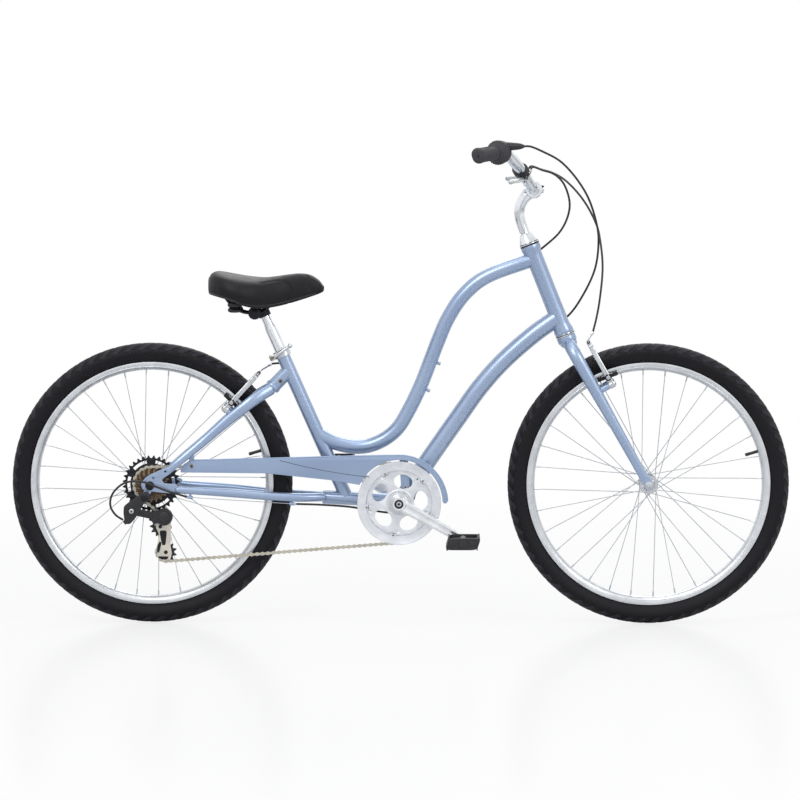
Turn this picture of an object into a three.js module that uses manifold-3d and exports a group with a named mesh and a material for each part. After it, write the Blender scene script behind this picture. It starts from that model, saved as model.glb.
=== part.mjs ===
// A step through bicycle, built as the assembly that it is: frame tubes, fork, wheels,
// drive train, rear derailleur, rim brakes, hand controls, cables and saddle.
// Millimetres. +X is forward, +Y is the rider's left and +Z is up. The ground is z = 0
// and the origin lies midway between the two axles, in the middle plane.

import * as THREE from 'three';
import { mergeVertices } from 'three/addons/utils/BufferGeometryUtils.js';
import Module from 'manifold-3d';

const wasm = await Module();
wasm.setup();

// Layout and fits
const wheelbase = 1165;
const wheelRadius = 330;
const gap = 0.3;
const overrun = 6;
const weld = 1e-4;
const sliver = 0.04;

// Fineness of the round shapes
const tubeSides = 10;
const boreSides = 12;
const staySides = 6;
const pinSides = 8;
const studSides = 6;
const wheelSides = 24;
const hubSides = 12;
const barSides = 8;
const cableSides = 5;
const spokeSides = 3;

// Frame tubes
const headAngle = THREE.MathUtils.degToRad(68.3);
const headTubeLength = 222;
const headTubeRadius = 20;
const headFlareRadius = 23;
const headFlareLength = 20;
const headsetSkirtRadius = 17.2;
const topTubeRadius = 17;
const downTubeRadius = 21;
const seatTubeRadius = 15.9;
const seatAngle = THREE.MathUtils.degToRad(66);
const seatTubeLength = 371;
const stubRadius = 16.5;
const stubCollarRadius = 18;
const stubCollarLength = 7;
const lowerTubeRadius = 16;
const shellRadius = 20;
const shellLength = 68;
const bottleBossRadius = 4;
const bottleBossLength = 6;
const chainstayRadius = 10.2;
const seatstayDepth = 15;
const seatstayHalfWidth = 8.5;

// Rear ends of the stays
const rearSpacing = 135;
const dropoutPlate = 6;
const dropoutReach = 66;
const stayStraight = 22;
const eyeletRadius = 2.6;
const hangerEndRadius = 9;
const rearRodRadius = 4.8;
const guardTabWidth = 12;
const guardTabLength = 44;
const guardTabPlate = 2.6;
const guardTabFoot = 60;
const cableStopRadius = 4;
const cableStopLength = 11;

// Fork and headset
const steererRadius = 14.3;
const steererRise = 9;
const quillRadius = 11.1;
const quillDepth = 74;
const quillBoreDepth = 96;
const crownDrop = 20;
const bladeDepth = 15;
const bladeHalfWidth = 12;
const frontSpacing = 100;
const forkDropoutPlate = 5;
const forkDropoutRadius = 11.5;
const forkDropoutRise = 18;
const forkWheelRoom = 30;
const frontRodRadius = 4.7;
const lowerCupHeight = 6;
const cupSkirt = 12;
const conePlinthHeight = 7;
const coneHeight = 29;
const coneFootRadius = 22;
const coneTopRadius = 14;

// Wheels
const tyreWidth = 50;
const rimRadius = 285.5;
const rimDepth = 29.5;
const rimWidth = 30;
const rimWall = 3;
const rimBedDrop = 6;
const spokeCount = 32;
const spokeCross = 3;
const spokeRadius = 1;
const spokeCircle = 18;
const spokeOffset = 1.35;
const rimSpokeOffset = 3;
const flangeRadius = 21.5;
const flangeThickness = 5;
const frontFlangeOffset = 33;
const frontBarrelRadius = 13;
const frontHubInset = 6;
const rearFlangeLeft = 35;
const rearFlangeRight = 21;
const rearBarrelRadius = 17;
const rearHubNeckRadius = 13.6;
const rearHubInsetLeft = 9;
const rearHubInsetRight = 12;
const freewheelThreadRadius = 16.5;
const freewheelThreadLength = 22;
const hubRoom = 1.5;
const cupDepth = 7;
const coneRadius = 8.7;
const nutRadius = 10;
const nutLength = 10.5;
const nutCrown = 3.5;

// Drive train
const chainPitch = 12.7;
const chainringTeeth = 46;
const cogTeeth = [34, 24, 22, 20, 18, 16, 14];
const cogPitch = 5;
const engagedCog = 1;
const cogThickness = 2;
const largestCogOffset = 33;
const freewheelCoreRadius = 24;
const chainringOffset = 47.5;
const chainringThickness = 2;
const toothHeight = 2.8;
const toothRoot = 3.6;
const pulleyTeeth = 11;
const pulleyThickness = 2.4;
const chainPlateInner = 1.8;
const chainPlateOuter = 3.4;
const chainPlateHalfHeight = 3.9;
const chainRollerRadius = 3.1;
const rollerPitches = 9;
const ringWindows = 5;
const ringWindowCircle = 51;
const ringWindowLong = 22;
const ringWindowShort = 16.5;
const guardDiscOuter = 98;
const guardDiscInner = 77;
const guardDiscThickness = 2.4;
const guardDiscOffset = 51.7;
const guardClipDepth = 6;
const guardClipWidth = 13;
const crankLength = 170;
const crankAngle = THREE.MathUtils.degToRad(28.5);
const crankBossRadius = 16.5;
const ringBossRadius = 25;
const ringBossDepth = 6;
const crankInnerRight = 54;
const crankInnerLeft = 44;
const crankOffset = 66;
const crankPedalOffset = 79;
const crankDepth = 15;
const crankHalfThickness = 10;
const crankTipRadius = 12;
const crankTipHalfThickness = 7;
const spindleRadius = 8.5;
const spindleEnd = 64;
const bearingRadius = 16.7;
const bearingWidth = 11;
const pedalAxleRadius = 6;
const pedalOffset = 135;
const pedalWidth = 88;
const pedalLength = 80;
const pedalHeight = 28;
const pedalRail = 9;
const pedalBarrelRadius = 11;

// Chain guard
const guardPlateOffset = 52.4;
const guardPlateThickness = 2.4;
const guardArchInner = 101.5;
const guardArchOuter = 113.5;
const guardArchTip = THREE.MathUtils.degToRad(3);
const guardArchHead = THREE.MathUtils.degToRad(86);
const guardArchFoot = THREE.MathUtils.degToRad(155);
const guardLipDepth = 12.5;
const guardLipThickness = 2;
const guardLipSetback = 22;
const guardBracketWidth = 20;
const guardBracketThickness = 2.4;
const guardBossRadius = 6;

// Rim brakes
const armLength = 108;
const armHalfWidth = 8.5;
const armThickness = 13;
const bossOffset = 42;
const bossRadius = 7.5;
const studRadius = 4;
const frontBrakeReach = 41;
const frontBrakeDrop = 135;
const rearBrakeReach = 24;
const rearBrakeAngle = THREE.MathUtils.degToRad(47.2);
const brakeTrack = 270.5;
const padGap = 2;
const padThickness = 9;
const padHeight = 9;
const padLength = 50;
const padPostRadius = 4;

// Stem, handlebar and controls
const stemRadius = 11.6;
const clampRadius = 20;
const clampWidth = 44;
const clampEarReach = 24;
const clampEarHeight = 11;
const barRadius = 12.7;
const barEndRadius = 11.1;
const barHalfWidth = 318;
const barRise = 90;
const barSweep = 130;
const barStraight = 130;
const barEase = 16;
const gripRadius = 15.2;
const gripEndRadius = 16.6;
const gripCapRadius = 13.3;
const gripEndLength = 7;
const gripWall = 2.4;
const rightGripLength = 86;
const leftGripLength = 124;
const twistRadius = 28;
const twistWaistRadius = 22.4;
const twistNeckRadius = 17.5;
const twistLength = 22;
const twistFlange = 6.5;
const shifterRadius = 26;
const shifterLength = 17;
const snoutLift = 13;
const snoutRadius = 8.5;
const bracketRingRadius = 17.5;
const bracketRingLength = 18;
const bracketBodyRadius = 8;
const bracketBarrelRadius = 5.5;
const leverEyeRadius = 5.5;
const leverPinRadius = 2.2;
const leverHalfThickness = 3.2;
const leverHalfWidth = 5.5;
const leverBallRadius = 6.2;
const leverCheek = 3.2;
const leverRoomReach = 26;
const leverSwing = THREE.MathUtils.degToRad(20);

// Seat post, its clamp and the saddle
const postRadius = 13.6;
const postLength = 290;
const postExposed = 74;
const postNeckRadius = 11;
const postNeckLength = 40;
const postShoulder = 12;
const seatCollarRadius = 20;
const seatCollarHeight = 17;
const seatCollarCover = 11.5;
const seatCollarEar = 9;
const quickRodRadius = 3;
const quickRodOffset = 23.5;
const quickNutRadius = 7;
const quickNutLength = 6;
const quickDrumRadius = 7;
const quickDrumOffset = 19;
const quickDrumHeight = 12;
const quickArmRadius = 3.6;
const quickArmOffset = 27.2;
const quickArmLength = 44;
const quickArmRise = 7.2;
const quickBallRadius = 5.5;
const saddleLength = 270;
const saddleHalfWidth = 113;
const saddleHeight = 80;
const saddlePanThickness = 5;
const saddleEdge = 8;
const railRadius = 3.5;
const railSpacing = 22;
const railClampRadius = 13;
const railClampWidth = 56;
const socketWall = 3.5;
const bumperRadius = 8;
const bumperLength = 47;
const bumperSpacing = 28.6;

// Rear derailleur
const knuckleRadius = 12.5;
const knuckleThickness = 15;
const linkHeight = 16;
const linkEndRadius = 6.5;
const linkPinRadius = 2.5;
const linkEar = 4.5;
const linkSetback = 3.3;
const linkRootOffset = 81.3;
const linkTipOffset = 57;
const pivotBodyRadius = 20;
const pivotBodyThickness = 17;
const cagePlateThickness = 2;
const cageHalfGap = 6;
const cagePivotRadius = 5;
const cagePinDepth = 10;
const pulleyPinRadius = 3;
const cageEndRadius = 13;

// Cables
const housingRadius = 2.5;
const wireRadius = 1;
const barrelLength = 9;
const cableLead = 12;

// Places on the frame, as shares of the wheelbase: forward of the middle, up from the axles
const steeringFootShare = [0.331, 0.3027];
const bottomBracketShare = [-0.0009, -0.0361];
const seatTubeTopShare = [-0.2388, 0.2645];
const topTubeShares = [
  [0.2712, 0.4532],
  [0.169, 0.4142],
  [0.1267, 0.3786],
  [0.0955, 0.3314],
  [0.0762, 0.287],
  [0.042, 0.1983],
  [0.0178, 0.1479],
  [-0.0045, 0.1116],
  [-0.0306, 0.0894],
  [-0.0609, 0.0762],
  [-0.0871, 0.0732],
  [-0.1113, 0.0761],
  [-0.1355, 0.0833],
  [-0.1631, 0.097],
];
const downTubeShares = [
  [0.3136, 0.3334],
  [0.2679, 0.3002],
  [0.2074, 0.2467],
  [0.1609, 0.1943],
  [0.1206, 0.1378],
  [0.0853, 0.0874],
  [0.052, 0.039],
];
const stubShares = [[-0.224, 0.2275], [-0.2578, 0.193]];
const yokeShare = [-0.1562, -0.0283];
const bottleBossShares = [0.488, 0.578];
const rearBrakeShare = [-0.3493, 0.1523];

// Stays: forward, up, sideways as a share of the rear dropout's middle, depth and width
const seatstayShares = [
  [-0.2601, 0.1912, 0.185, 1, 1],
  [-0.279, 0.1803, 0.4, 1, 1],
  [-0.3004, 0.1648, 0.57, 0.92, 1],
  [-0.3447, 0.13, 0.655, 0.85, 1],
  [-0.3914, 0.0893, 0.77, 0.72, 0.9],
];
const seatstayEndShares = [0.6, 0.8];
const chainstayShares = [
  [-0.4438, -0.0086, 1, 0.8, 0.8],
  [-0.3433, -0.0155, 0.8, 1, 1],
  [-0.2575, -0.0232, 0.63, 1, 1],
  [-0.206, -0.0262, 0.54, 1, 1],
  [-0.176, -0.027, 0.385, 1, 1],
  [-0.1545, -0.0275, 0.19, 1, 1],
];
const stopShares = [
  [-0.217, -0.0386, -0.59],
  [-0.419, -0.024, -0.94],
];

// Fork blade: down its length, sideways as a share of the dropout's middle, depth and width
const bladeShares = [
  [0, 0.08, 0.9, 1],
  [0.03, 0.5, 1, 1],
  [0.095, 0.8, 1, 1],
  [0.22, 0.876, 1, 1],
  [0.6, 0.94, 0.8, 0.75],
  [1, 1, 0.68, 0.35],
];

// Rear dropout outline round the axle, as shares of its reach; the first two carry the seatstay
const dropoutShares = [
  [0.623, 0.676],
  [0.794, 0.472],
  [0.42, 0.22],
  [0.5, 0.08],
  [0.97, 0.06],
  [1, -0.26],
  [0.71, -0.27],
  [0.33, -0.24],
  [0.1, -0.21],
  [-0.1, -0.21],
  [-0.27, -0.12],
  [-0.32, 0.07],
  [-0.12, 0.33],
];
const eyeletShares = [[0.13, 0.27], [0.55, 0.5]];
const hangerBoltShare = [-0.159, -0.394];

// Derailleur places, as shares of the wheelbase like the frame's
const cagePivotShare = [-0.473, -0.0644];
const guidePulleyShare = [-0.4814, -0.085];
const tensionPulleyShare = [-0.4704, -0.1368];
const linkRootShare = [-0.5382, -0.0498];
const linkTipShare = [-0.4953, -0.0618];
const barrelShare = [-0.5462, -0.0718];

// Knuckle outline: steps from the hanger bolt, the link's root and the cable's barrel,
// as shares of the knuckle's radius
const knuckleShares = [
  ['bolt', -0.3, 0.95],
  ['bolt', 0.95, 0],
  ['bolt', -0.2, -1.2],
  ['root', 1, -1.28],
  ['barrel', 0.7, -0.4],
  ['barrel', -0.4, -0.4],
  ['barrel', -0.4, 0.4],
  ['root', -1.3, -0.3],
  ['root', -1.2, 1],
];

// Cage outlines: steps from the cage's pivot and the pulleys, as shares of its end radius
const outerCageShares = [
  ['pivot', -0.9, 0.5],
  ['pivot', 0.2, 1],
  ['pivot', 1, 0.2],
  ['guide', 1.5, -1],
  ['tension', 0.7, 1.6],
  ['tension', 1, -0.3],
  ['tension', 0.2, -1],
  ['tension', -0.8, -0.6],
  ['tension', -1, 0.4],
  ['guide', -0.7, -1],
  ['guide', -1, 0],
];
const innerCageShares = [
  ...outerCageShares.slice(3),
  ['guide', -0.3, 0.8],
  ['guide', 0.7, 0.5],
];

// Chain guard places, as shares of the wheelbase like the frame's
const guardTailShare = [-0.4166, 0.0506];
const guardHeelShare = [-0.4395, 0.0252];
const guardBellyShare = [-0.2651, 0.0236];
const guardFootShare = [-0.1411, 0.0105];
const guardScrewShare = [0.0116, -0.0043];
const guardTabShare = [-0.4172, 0.038];

// Rim brake arm outline, as shares of its half width and its length
const armShares = [
  [1, -0.055],
  [1, 0.12],
  [0.7, 0.55],
  [0.2, 1],
  [-0.75, 1],
  [-0.5, 0.5],
  [-1, 0.12],
  [-1, -0.055],
];
const noodleShare = 0.2;

// Pedal outline, as shares of its half length and half height
const pedalShares = [
  [-0.96, -1],
  [0.8, -1],
  [1, 0.65],
  [0.96, 1],
  [-0.8, 1],
  [-1, -0.54],
];
const crankRouteShares = [0.14, 0.5, 0.86];

// Stem, handlebar and levers. On the bar: back, up and sideways as shares of the bar's
// sweep, rise and half width
const stemShares = [
  [0.2503, 0.5053],
  [0.2405, 0.5345],
  [0.2404, 0.557],
  [0.252, 0.5775],
  [0.2678, 0.5914],
];
const barShares = [
  [0, 0, 0],
  [0, 0, 0.1],
  [0.1, 0.2, 0.22],
  [0.285, 0.6, 0.41],
];
const barBendShare = [0.646, 0.97, 0.6875];
const barEndShare = [1, 0.88, 1];
const leverRingShare = 0.693;
const leverPivotShare = [0.185, 0.304, 0.39];
const leverBendShare = [0.23, 0.278, 0.472];
const leverTipShare = [0.438, 0.244, 0.912];
const leverPullShare = [0.454, 0.678, 0];
const cableExitShare = [0.077, 0.511, 0.33];
const shifterExitShare = [0.2, 1.125, 0.65];

// Saddle sections from tail to nose: place along its length, top, skirt and half width
const saddleShares = [
  [0, 0.72, 0.5, 0.42],
  [0.03, 0.93, 0.42, 0.62],
  [0.09, 1.04, 0.33, 0.84],
  [0.18, 1, 0.24, 0.97],
  [0.29, 0.93, 0.13, 0.99],
  [0.4, 0.88, 0.03, 0.88],
  [0.5, 0.88, 0, 0.68],
  [0.6, 0.93, 0.06, 0.5],
  [0.7, 0.98, 0.16, 0.38],
  [0.8, 1.01, 0.27, 0.31],
  [0.89, 0.97, 0.38, 0.26],
  [0.96, 0.83, 0.5, 0.2],
  [1, 0.62, 0.55, 0.1],
];

// One side of a saddle section from the middle out: share of the half width, drop from the top
const saddleCrownShares = [
  [0, 0],
  [0.3, -0.04],
  [0.62, 0.06],
  [0.85, 0.24],
  [0.98, 0.5],
  [1, 0.68],
  [0.95, 0.87],
  [0.84, 1],
];
const saddlePlaceShare = [-0.3866, 0.3519];
const saddleRoofShare = 0.5;
const saddleSkirtShare = 0.84;
const railShares = [
  [-0.3605, 0.3935, 1.9],
  [-0.34, 0.364, 1.5],
  [-0.316, 0.3465, 1.02],
  [-0.2911, 0.3442, 1],
  [-0.262, 0.3442, 1],
  [-0.236, 0.354, 0.8],
  [-0.2, 0.374, 0.45],
  [-0.188, 0.394, 0.35],
];
const railClampShare = [-0.2911, 0.3442];
const bumperShare = [-0.331, 0.347];

// A place on the middle plane, and the same place moved sideways
function at([shareX, shareZ], y = 0) {
  return new THREE.Vector3(shareX * wheelbase, y, wheelRadius + shareZ * wheelbase);
}

const forwards = new THREE.Vector3(1, 0, 0);
const sideways = new THREE.Vector3(0, 1, 0);
const upwards = new THREE.Vector3(0, 0, 1);
const rearAxle = at([-0.5, 0]);
const frontAxle = at([0.5, 0]);
const bottomBracket = at(bottomBracketShare);
const steeringFoot = at(steeringFootShare);
const steerUp = new THREE.Vector3(-Math.cos(headAngle), 0, Math.sin(headAngle));
const seatUp = new THREE.Vector3(-Math.cos(seatAngle), 0, Math.sin(seatAngle));
const seatTubeTop = at(seatTubeTopShare);
const rearHalf = rearSpacing / 2;
const frontHalf = frontSpacing / 2;

// A point so far from a start along a direction
const along = (start, direction, distance) => start.clone().addScaledVector(direction, distance);

// The direction from one point to another
const heading = (from, to) => to.clone().sub(from).normalize();

// A matrix that stands a shape lathed about +Y at a place, along a direction
function standing(place, direction) {
  const turn = new THREE.Quaternion().setFromUnitVectors(sideways, direction.clone().normalize());
  return new THREE.Matrix4().compose(place, turn, new THREE.Vector3(1, 1, 1));
}

// A matrix whose axes are the given directions
const framed = (place, x, y, z) => new THREE.Matrix4().makeBasis(x, y, z).setPosition(place);

// A closed solid from a closed three.js geometry, its faces turned outwards
function solid(geometry) {
  const bare = new THREE.BufferGeometry();
  bare.setAttribute('position', geometry.getAttribute('position'));
  if (geometry.index) bare.setIndex(geometry.index);
  const merged = mergeVertices(bare, weld);
  const points = merged.getAttribute('position').array;
  const corner = (i) => new THREE.Vector3().fromArray(points, 3 * i);
  const faces = [];
  let volume = 0;
  for (let i = 0; i < merged.index.count; i += 3) {
    const [a, b, c] = merged.index.array.slice(i, i + 3);
    if (a === b || b === c || c === a) continue;
    faces.push(a, b, c);
    volume += corner(a).dot(corner(b).cross(corner(c)));
  }
  const triVerts = Uint32Array.from(faces);
  if (volume < 0) triVerts.reverse();
  const vertProperties = Float32Array.from(points);
  return new wasm.Manifold(new wasm.Mesh({ numProp: 3, vertProperties, triVerts }));
}

// The three.js geometry of a solid
function geometryOf(shape) {
  const mesh = shape.simplify(sliver).getMesh();
  const geometry = new THREE.BufferGeometry();
  geometry.setAttribute('position', new THREE.BufferAttribute(mesh.vertProperties, 3));
  geometry.setIndex(new THREE.BufferAttribute(mesh.triVerts, 1));
  geometry.computeVertexNormals();
  return geometry;
}

const moved = (shape, matrix) => shape.transform(Array.from(matrix.elements));
const joined = (...shapes) => shapes.reduce((whole, shape) => whole.add(shape));
const cut = (shape, ...tools) => tools.reduce((rest, tool) => rest.subtract(tool), shape);
const mirrored = (shape) => shape.mirror([0, 1, 0]);
const flipped = (point) => new THREE.Vector3(point.x, -point.y, point.z);

// A shape turned about +Y from rows of radius and height; a ring's rows close on the first
function turned(rows, sides, ring = false) {
  const profile = rows.map(([radius, height]) => new THREE.Vector2(radius, height));
  if (ring) profile.push(profile[0].clone());
  return solid(new THREE.LatheGeometry(profile, sides));
}

// A round bar along +Y between two heights
function barY(radius, low, high, sides) {
  return turned([[0, low], [radius, low], [radius, high], [0, high]], sides);
}

// A round bar between two points
function bar(start, end, radius, sides) {
  const direction = end.clone().sub(start);
  return moved(barY(radius, 0, direction.length(), sides), standing(start, direction));
}

// The radius at which a faceted hole clears a round bar by the gap on every flat
const roomFor = (radius, sides) => (radius + gap) / Math.cos(Math.PI / sides);
const roomY = (radius, low, high, sides) => barY(roomFor(radius, sides), low, high, sides);
const room = (start, end, radius, sides) => bar(start, end, roomFor(radius, sides), sides);

// The room for a bar that runs sideways through a place, to the same distance each side
function roomAcross(place, reach, radius, sides) {
  return room(along(place, sideways, -reach), along(place, sideways, reach), radius, sides);
}

// A plate in the XZ plane between two values of y, from an outline of [x, z] points
function plate(outline, low, high, holes = []) {
  const shape = new THREE.Shape(outline.map(([x, z]) => new THREE.Vector2(x, z)));
  for (const hole of holes) {
    shape.holes.push(new THREE.Path(hole.map(([x, z]) => new THREE.Vector2(x, z))));
  }
  const slab = new THREE.ExtrudeGeometry(shape, { depth: high - low, bevelEnabled: false });
  slab.rotateX(Math.PI / 2);
  slab.translate(0, high, 0);
  return solid(slab);
}

// A box from its ranges along x, y and z
function block([x0, x1], [y0, y1], [z0, z1]) {
  const box = new THREE.BoxGeometry(x1 - x0, y1 - y0, z1 - z0);
  box.translate((x0 + x1) / 2, (y0 + y1) / 2, (z0 + z1) / 2);
  return solid(box);
}

// Points of an arc in the XZ plane
function arc(centre, radius, from, to, steps) {
  return Array.from({ length: steps + 1 }, (_, i) => {
    const angle = from + ((to - from) * i) / steps;
    return [centre.x + radius * Math.cos(angle), centre.z + radius * Math.sin(angle)];
  });
}

// Points of a whole circle in the XZ plane
function circle(centre, radius, sides) {
  return arc(centre, radius, 0, (2 * Math.PI * (sides - 1)) / sides, sides - 1);
}

// A smooth curve through points
const smooth = (points) => new THREE.CatmullRomCurve3(points, false, 'centripetal');

// A round tube or cable along a smooth curve through points
function swept(points, radius, sides, steps) {
  const section = new THREE.Shape(
    Array.from({ length: sides }, (_, i) => {
      const angle = (2 * Math.PI * (i + 0.5)) / sides;
      return new THREE.Vector2(radius * Math.cos(angle), radius * Math.sin(angle));
    }),
  );
  const extrudePath = smooth(points);
  return solid(new THREE.ExtrudeGeometry(section, { steps, extrudePath, bevelEnabled: false }));
}

// A skin over rings of points: a closed loop of them, or a run with a flat cap on each end
function lofted(rings, loop = false) {
  const count = rings[0].length;
  const total = rings.length * count;
  const index = [];
  const spans = loop ? rings.length : rings.length - 1;
  for (let r = 0; r < spans; r++) {
    for (let i = 0; i < count; i++) {
      const a = r * count + i;
      const b = r * count + ((i + 1) % count);
      const c = (a + count) % total;
      const d = (b + count) % total;
      index.push(a, b, c, b, d, c);
    }
  }
  const last = total - count;
  for (let i = 1; !loop && i + 1 < count; i++) {
    index.push(0, i + 1, i, last, last + i, last + i + 1);
  }
  const geometry = new THREE.BufferGeometry();
  const positions = rings.flat().flatMap((point) => point.toArray());
  geometry.setAttribute('position', new THREE.Float32BufferAttribute(positions, 3));
  geometry.setIndex(index);
  return solid(geometry);
}

// A tube of changing oval section along a smooth curve; one half axis leans to a side vector
function ovalTube(points, side, halfSides, halfDepths, sides, steps) {
  const curve = smooth(points);
  const pick = (list, t) => {
    const place = t * (list.length - 1);
    const low = Math.min(Math.floor(place), list.length - 2);
    return THREE.MathUtils.lerp(list[low], list[low + 1], place - low);
  };
  const rings = Array.from({ length: steps + 1 }, (_, s) => {
    const t = s / steps;
    const centre = curve.getPoint(t);
    const forward = curve.getTangent(t);
    const across = along(side, forward, -side.dot(forward)).normalize();
    const up = forward.clone().cross(across);
    return Array.from({ length: sides }, (_, i) => {
      const angle = (2 * Math.PI * (i + 0.5)) / sides;
      const part = along(centre, across, pick(halfSides, t) * Math.cos(angle));
      return along(part, up, pick(halfDepths, t) * Math.sin(angle));
    });
  });
  return lofted(rings);
}

// Materials
const look = (color, roughness, metalness) =>
  new THREE.MeshStandardMaterial({ color, roughness, metalness });
const paint = look(0x93afd2, 0.32, 0.35);
const guardPaint = look(0x94a9c8, 0.45, 0.2);
const chrome = look(0xdfe3e8, 0.12, 1);
const alloy = look(0xcfd3d6, 0.35, 0.9);
const steel = look(0xb9bcc0, 0.4, 0.9);
const whiteSteel = look(0xdde2e8, 0.45, 0.3);
const bronze = look(0x8f7148, 0.45, 0.85);
const chainSteel = look(0xb5ab90, 0.45, 0.8);
const blackSteel = look(0x24252a, 0.4, 0.5);
const blackPlastic = look(0x2e2c31, 0.55, 0);
const tyreRubber = look(0x2b2a33, 0.75, 0);
const gripRubber = look(0x4a474c, 0.8, 0);
const vinyl = look(0x2b2a2e, 0.6, 0);
const cageGrey = look(0xd8d2c6, 0.5, 0.4);

const bike = new THREE.Group();

// One named sub-part in a group of the scene
function add(group, name, shape, material) {
  const mesh = new THREE.Mesh(geometryOf(shape), material);
  mesh.name = name;
  group.add(mesh);
}

// A group of the scene at a place
function groupAt(place) {
  const group = new THREE.Group();
  group.position.copy(place);
  bike.add(group);
  return group;
}

// Head tube, flared at both ends; grown by the gap it cuts the tubes that meet it
const headTop = along(steeringFoot, steerUp, headTubeLength);

function headTubeOuter(extra) {
  const rows = [
    [0, -extra],
    [headFlareRadius + extra, -extra],
    [headFlareRadius + extra, headFlareLength / 2],
    [headTubeRadius + extra, headFlareLength],
    [headTubeRadius + extra, headTubeLength - headFlareLength],
    [headFlareRadius + extra, headTubeLength - headFlareLength / 2],
    [headFlareRadius + extra, headTubeLength + extra],
    [0, headTubeLength + extra],
  ];
  return moved(turned(rows, boreSides), standing(steeringFoot, steerUp));
}

function headTube() {
  const low = along(steeringFoot, steerUp, -overrun);
  const high = along(headTop, steerUp, overrun);
  return cut(headTubeOuter(0), room(low, high, headsetSkirtRadius, boreSides));
}

// Bottom bracket shell with the short lower tube that runs back from it
const yoke = at(yokeShare);

function lowerTube(extra) {
  return bar(bottomBracket, along(yoke, forwards, -extra), lowerTubeRadius + extra, tubeSides);
}

function shell(extra) {
  const half = shellLength / 2 + extra;
  const barrel = barY(shellRadius + extra, -half, half, boreSides);
  return moved(barrel, standing(bottomBracket, sideways));
}

function bottomBracketShell() {
  const bore = roomAcross(bottomBracket, shellLength, bearingRadius, boreSides);
  return cut(joined(shell(0), lowerTube(0)), bore);
}

// Seat tube with the stub that carries the seatstays
const seatTubeFoot = along(seatTubeTop, seatUp, -seatTubeLength);

function seatTubeOuter(extra) {
  return bar(seatTubeFoot, along(seatTubeTop, seatUp, extra), seatTubeRadius + extra, tubeSides);
}

function stub(extra) {
  const [start, end] = stubShares.map((share) => at(share));
  const outward = heading(start, end);
  const outer = along(end, outward, extra);
  const collarStart = along(end, outward, -stubCollarLength - extra);
  return joined(
    bar(start, outer, stubRadius + extra, tubeSides),
    bar(collarStart, outer, stubCollarRadius + extra, tubeSides),
  );
}

function seatTube() {
  const boreFoot = along(seatTubeFoot, seatUp, seatTubeRadius);
  const bore = room(boreFoot, along(seatTubeTop, seatUp, overrun), postRadius, boreSides);
  return cut(joined(seatTubeOuter(0), stub(0)), bore, lowerTube(gap), shell(gap));
}

// Top tube: a low swept beam from the head tube to the seat tube, with two bottle bosses
function topTube() {
  const points = topTubeShares.map((share) => at(share));
  const curve = smooth(points);
  const bosses = bottleBossShares.map((share) => {
    const centre = curve.getPointAt(share);
    const outward = curve.getTangentAt(share).cross(sideways).normalize();
    if (outward.x < 0) outward.negate();
    const end = along(centre, outward, topTubeRadius + bottleBossLength);
    return bar(along(centre, outward, topTubeRadius / 2), end, bottleBossRadius, studSides);
  });
  const tube = swept(points, topTubeRadius, tubeSides, 16);
  return cut(joined(tube, ...bosses), headTubeOuter(gap), seatTubeOuter(gap));
}

// Down tube: one bowed beam from the head tube to the bottom bracket
function downTubeOuter(extra) {
  const points = downTubeShares.map((share) => at(share));
  points.push(along(bottomBracket, heading(bottomBracket, points.at(-1)), shellRadius / 2));
  return swept(points, downTubeRadius + extra, tubeSides, 12);
}

function downTube() {
  return cut(downTubeOuter(0), headTubeOuter(gap), shell(gap), lowerTube(gap));
}

// Stays and dropouts, made for the left side and mirrored for the right
const dropoutMiddle = rearHalf + dropoutPlate / 2;

function onDropout([x, z], y = 0) {
  return rearAxle.clone().add(new THREE.Vector3(x * dropoutReach, y, z * dropoutReach));
}

function stayTube(points, rows, depth, halfWidth) {
  const depths = rows.map((row) => row.at(-2) * depth);
  const widths = rows.map((row) => row.at(-1) * halfWidth);
  return ovalTube(points, sideways, widths, depths, staySides, 9);
}

const stayPoints = (rows) => rows.map(([x, z, side]) => at([x, z], side * dropoutMiddle));

function dropout() {
  const outline = dropoutShares.map((share) => onDropout(share)).map(({ x, z }) => [x, z]);
  const holes = eyeletShares.map((share) => circle(onDropout(share), eyeletRadius, studSides));
  return plate(outline, rearHalf, rearHalf + dropoutPlate, holes);
}

const rearAxleRoom = roomAcross(rearAxle, rearSpacing, rearRodRadius, pinSides);

function chainstay() {
  const tube = stayTube(stayPoints(chainstayShares), chainstayShares, chainstayRadius, chainstayRadius);
  return cut(joined(tube, dropout()), rearAxleRoom);
}

// The hanger below the right dropout that the derailleur bolts to
const hangerBolt = onDropout(hangerBoltShare);

function hanger() {
  const strap = [
    [rearAxle.x - hangerEndRadius, rearAxle.z],
    [hangerBolt.x - hangerEndRadius, hangerBolt.z],
    [hangerBolt.x + hangerEndRadius, hangerBolt.z],
    [rearAxle.x + hangerEndRadius, rearAxle.z],
  ];
  const [low, high] = [-rearHalf - dropoutPlate, -rearHalf];
  const eye = plate(circle(hangerBolt, hangerEndRadius, boreSides), low, high);
  const boltRoom = roomAcross(hangerBolt, rearSpacing, cagePivotRadius, pinSides);
  return cut(joined(eye, plate(strap, low, high)), boltRoom, rearAxleRoom);
}

// Cable stops under the right chainstay, each on a short web, bored for the wire
const stops = stopShares.map(([x, z, side]) => at([x, z], side * dropoutMiddle));
const stopHeading = heading(stops[1], stops[0]);
const stopHalf = cableStopLength / 2;

function cableStop(place) {
  const start = along(place, stopHeading, -stopHalf);
  const body = bar(start, along(place, stopHeading, stopHalf), cableStopRadius, studSides);
  const web = block(
    [place.x - stopHalf / 2, place.x + stopHalf / 2],
    [place.y - cableStopRadius / 2, place.y + cableStopRadius / 2],
    [place.z + cableStopRadius / 2, place.z + chainstayRadius],
  );
  return joined(body, web);
}

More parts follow.
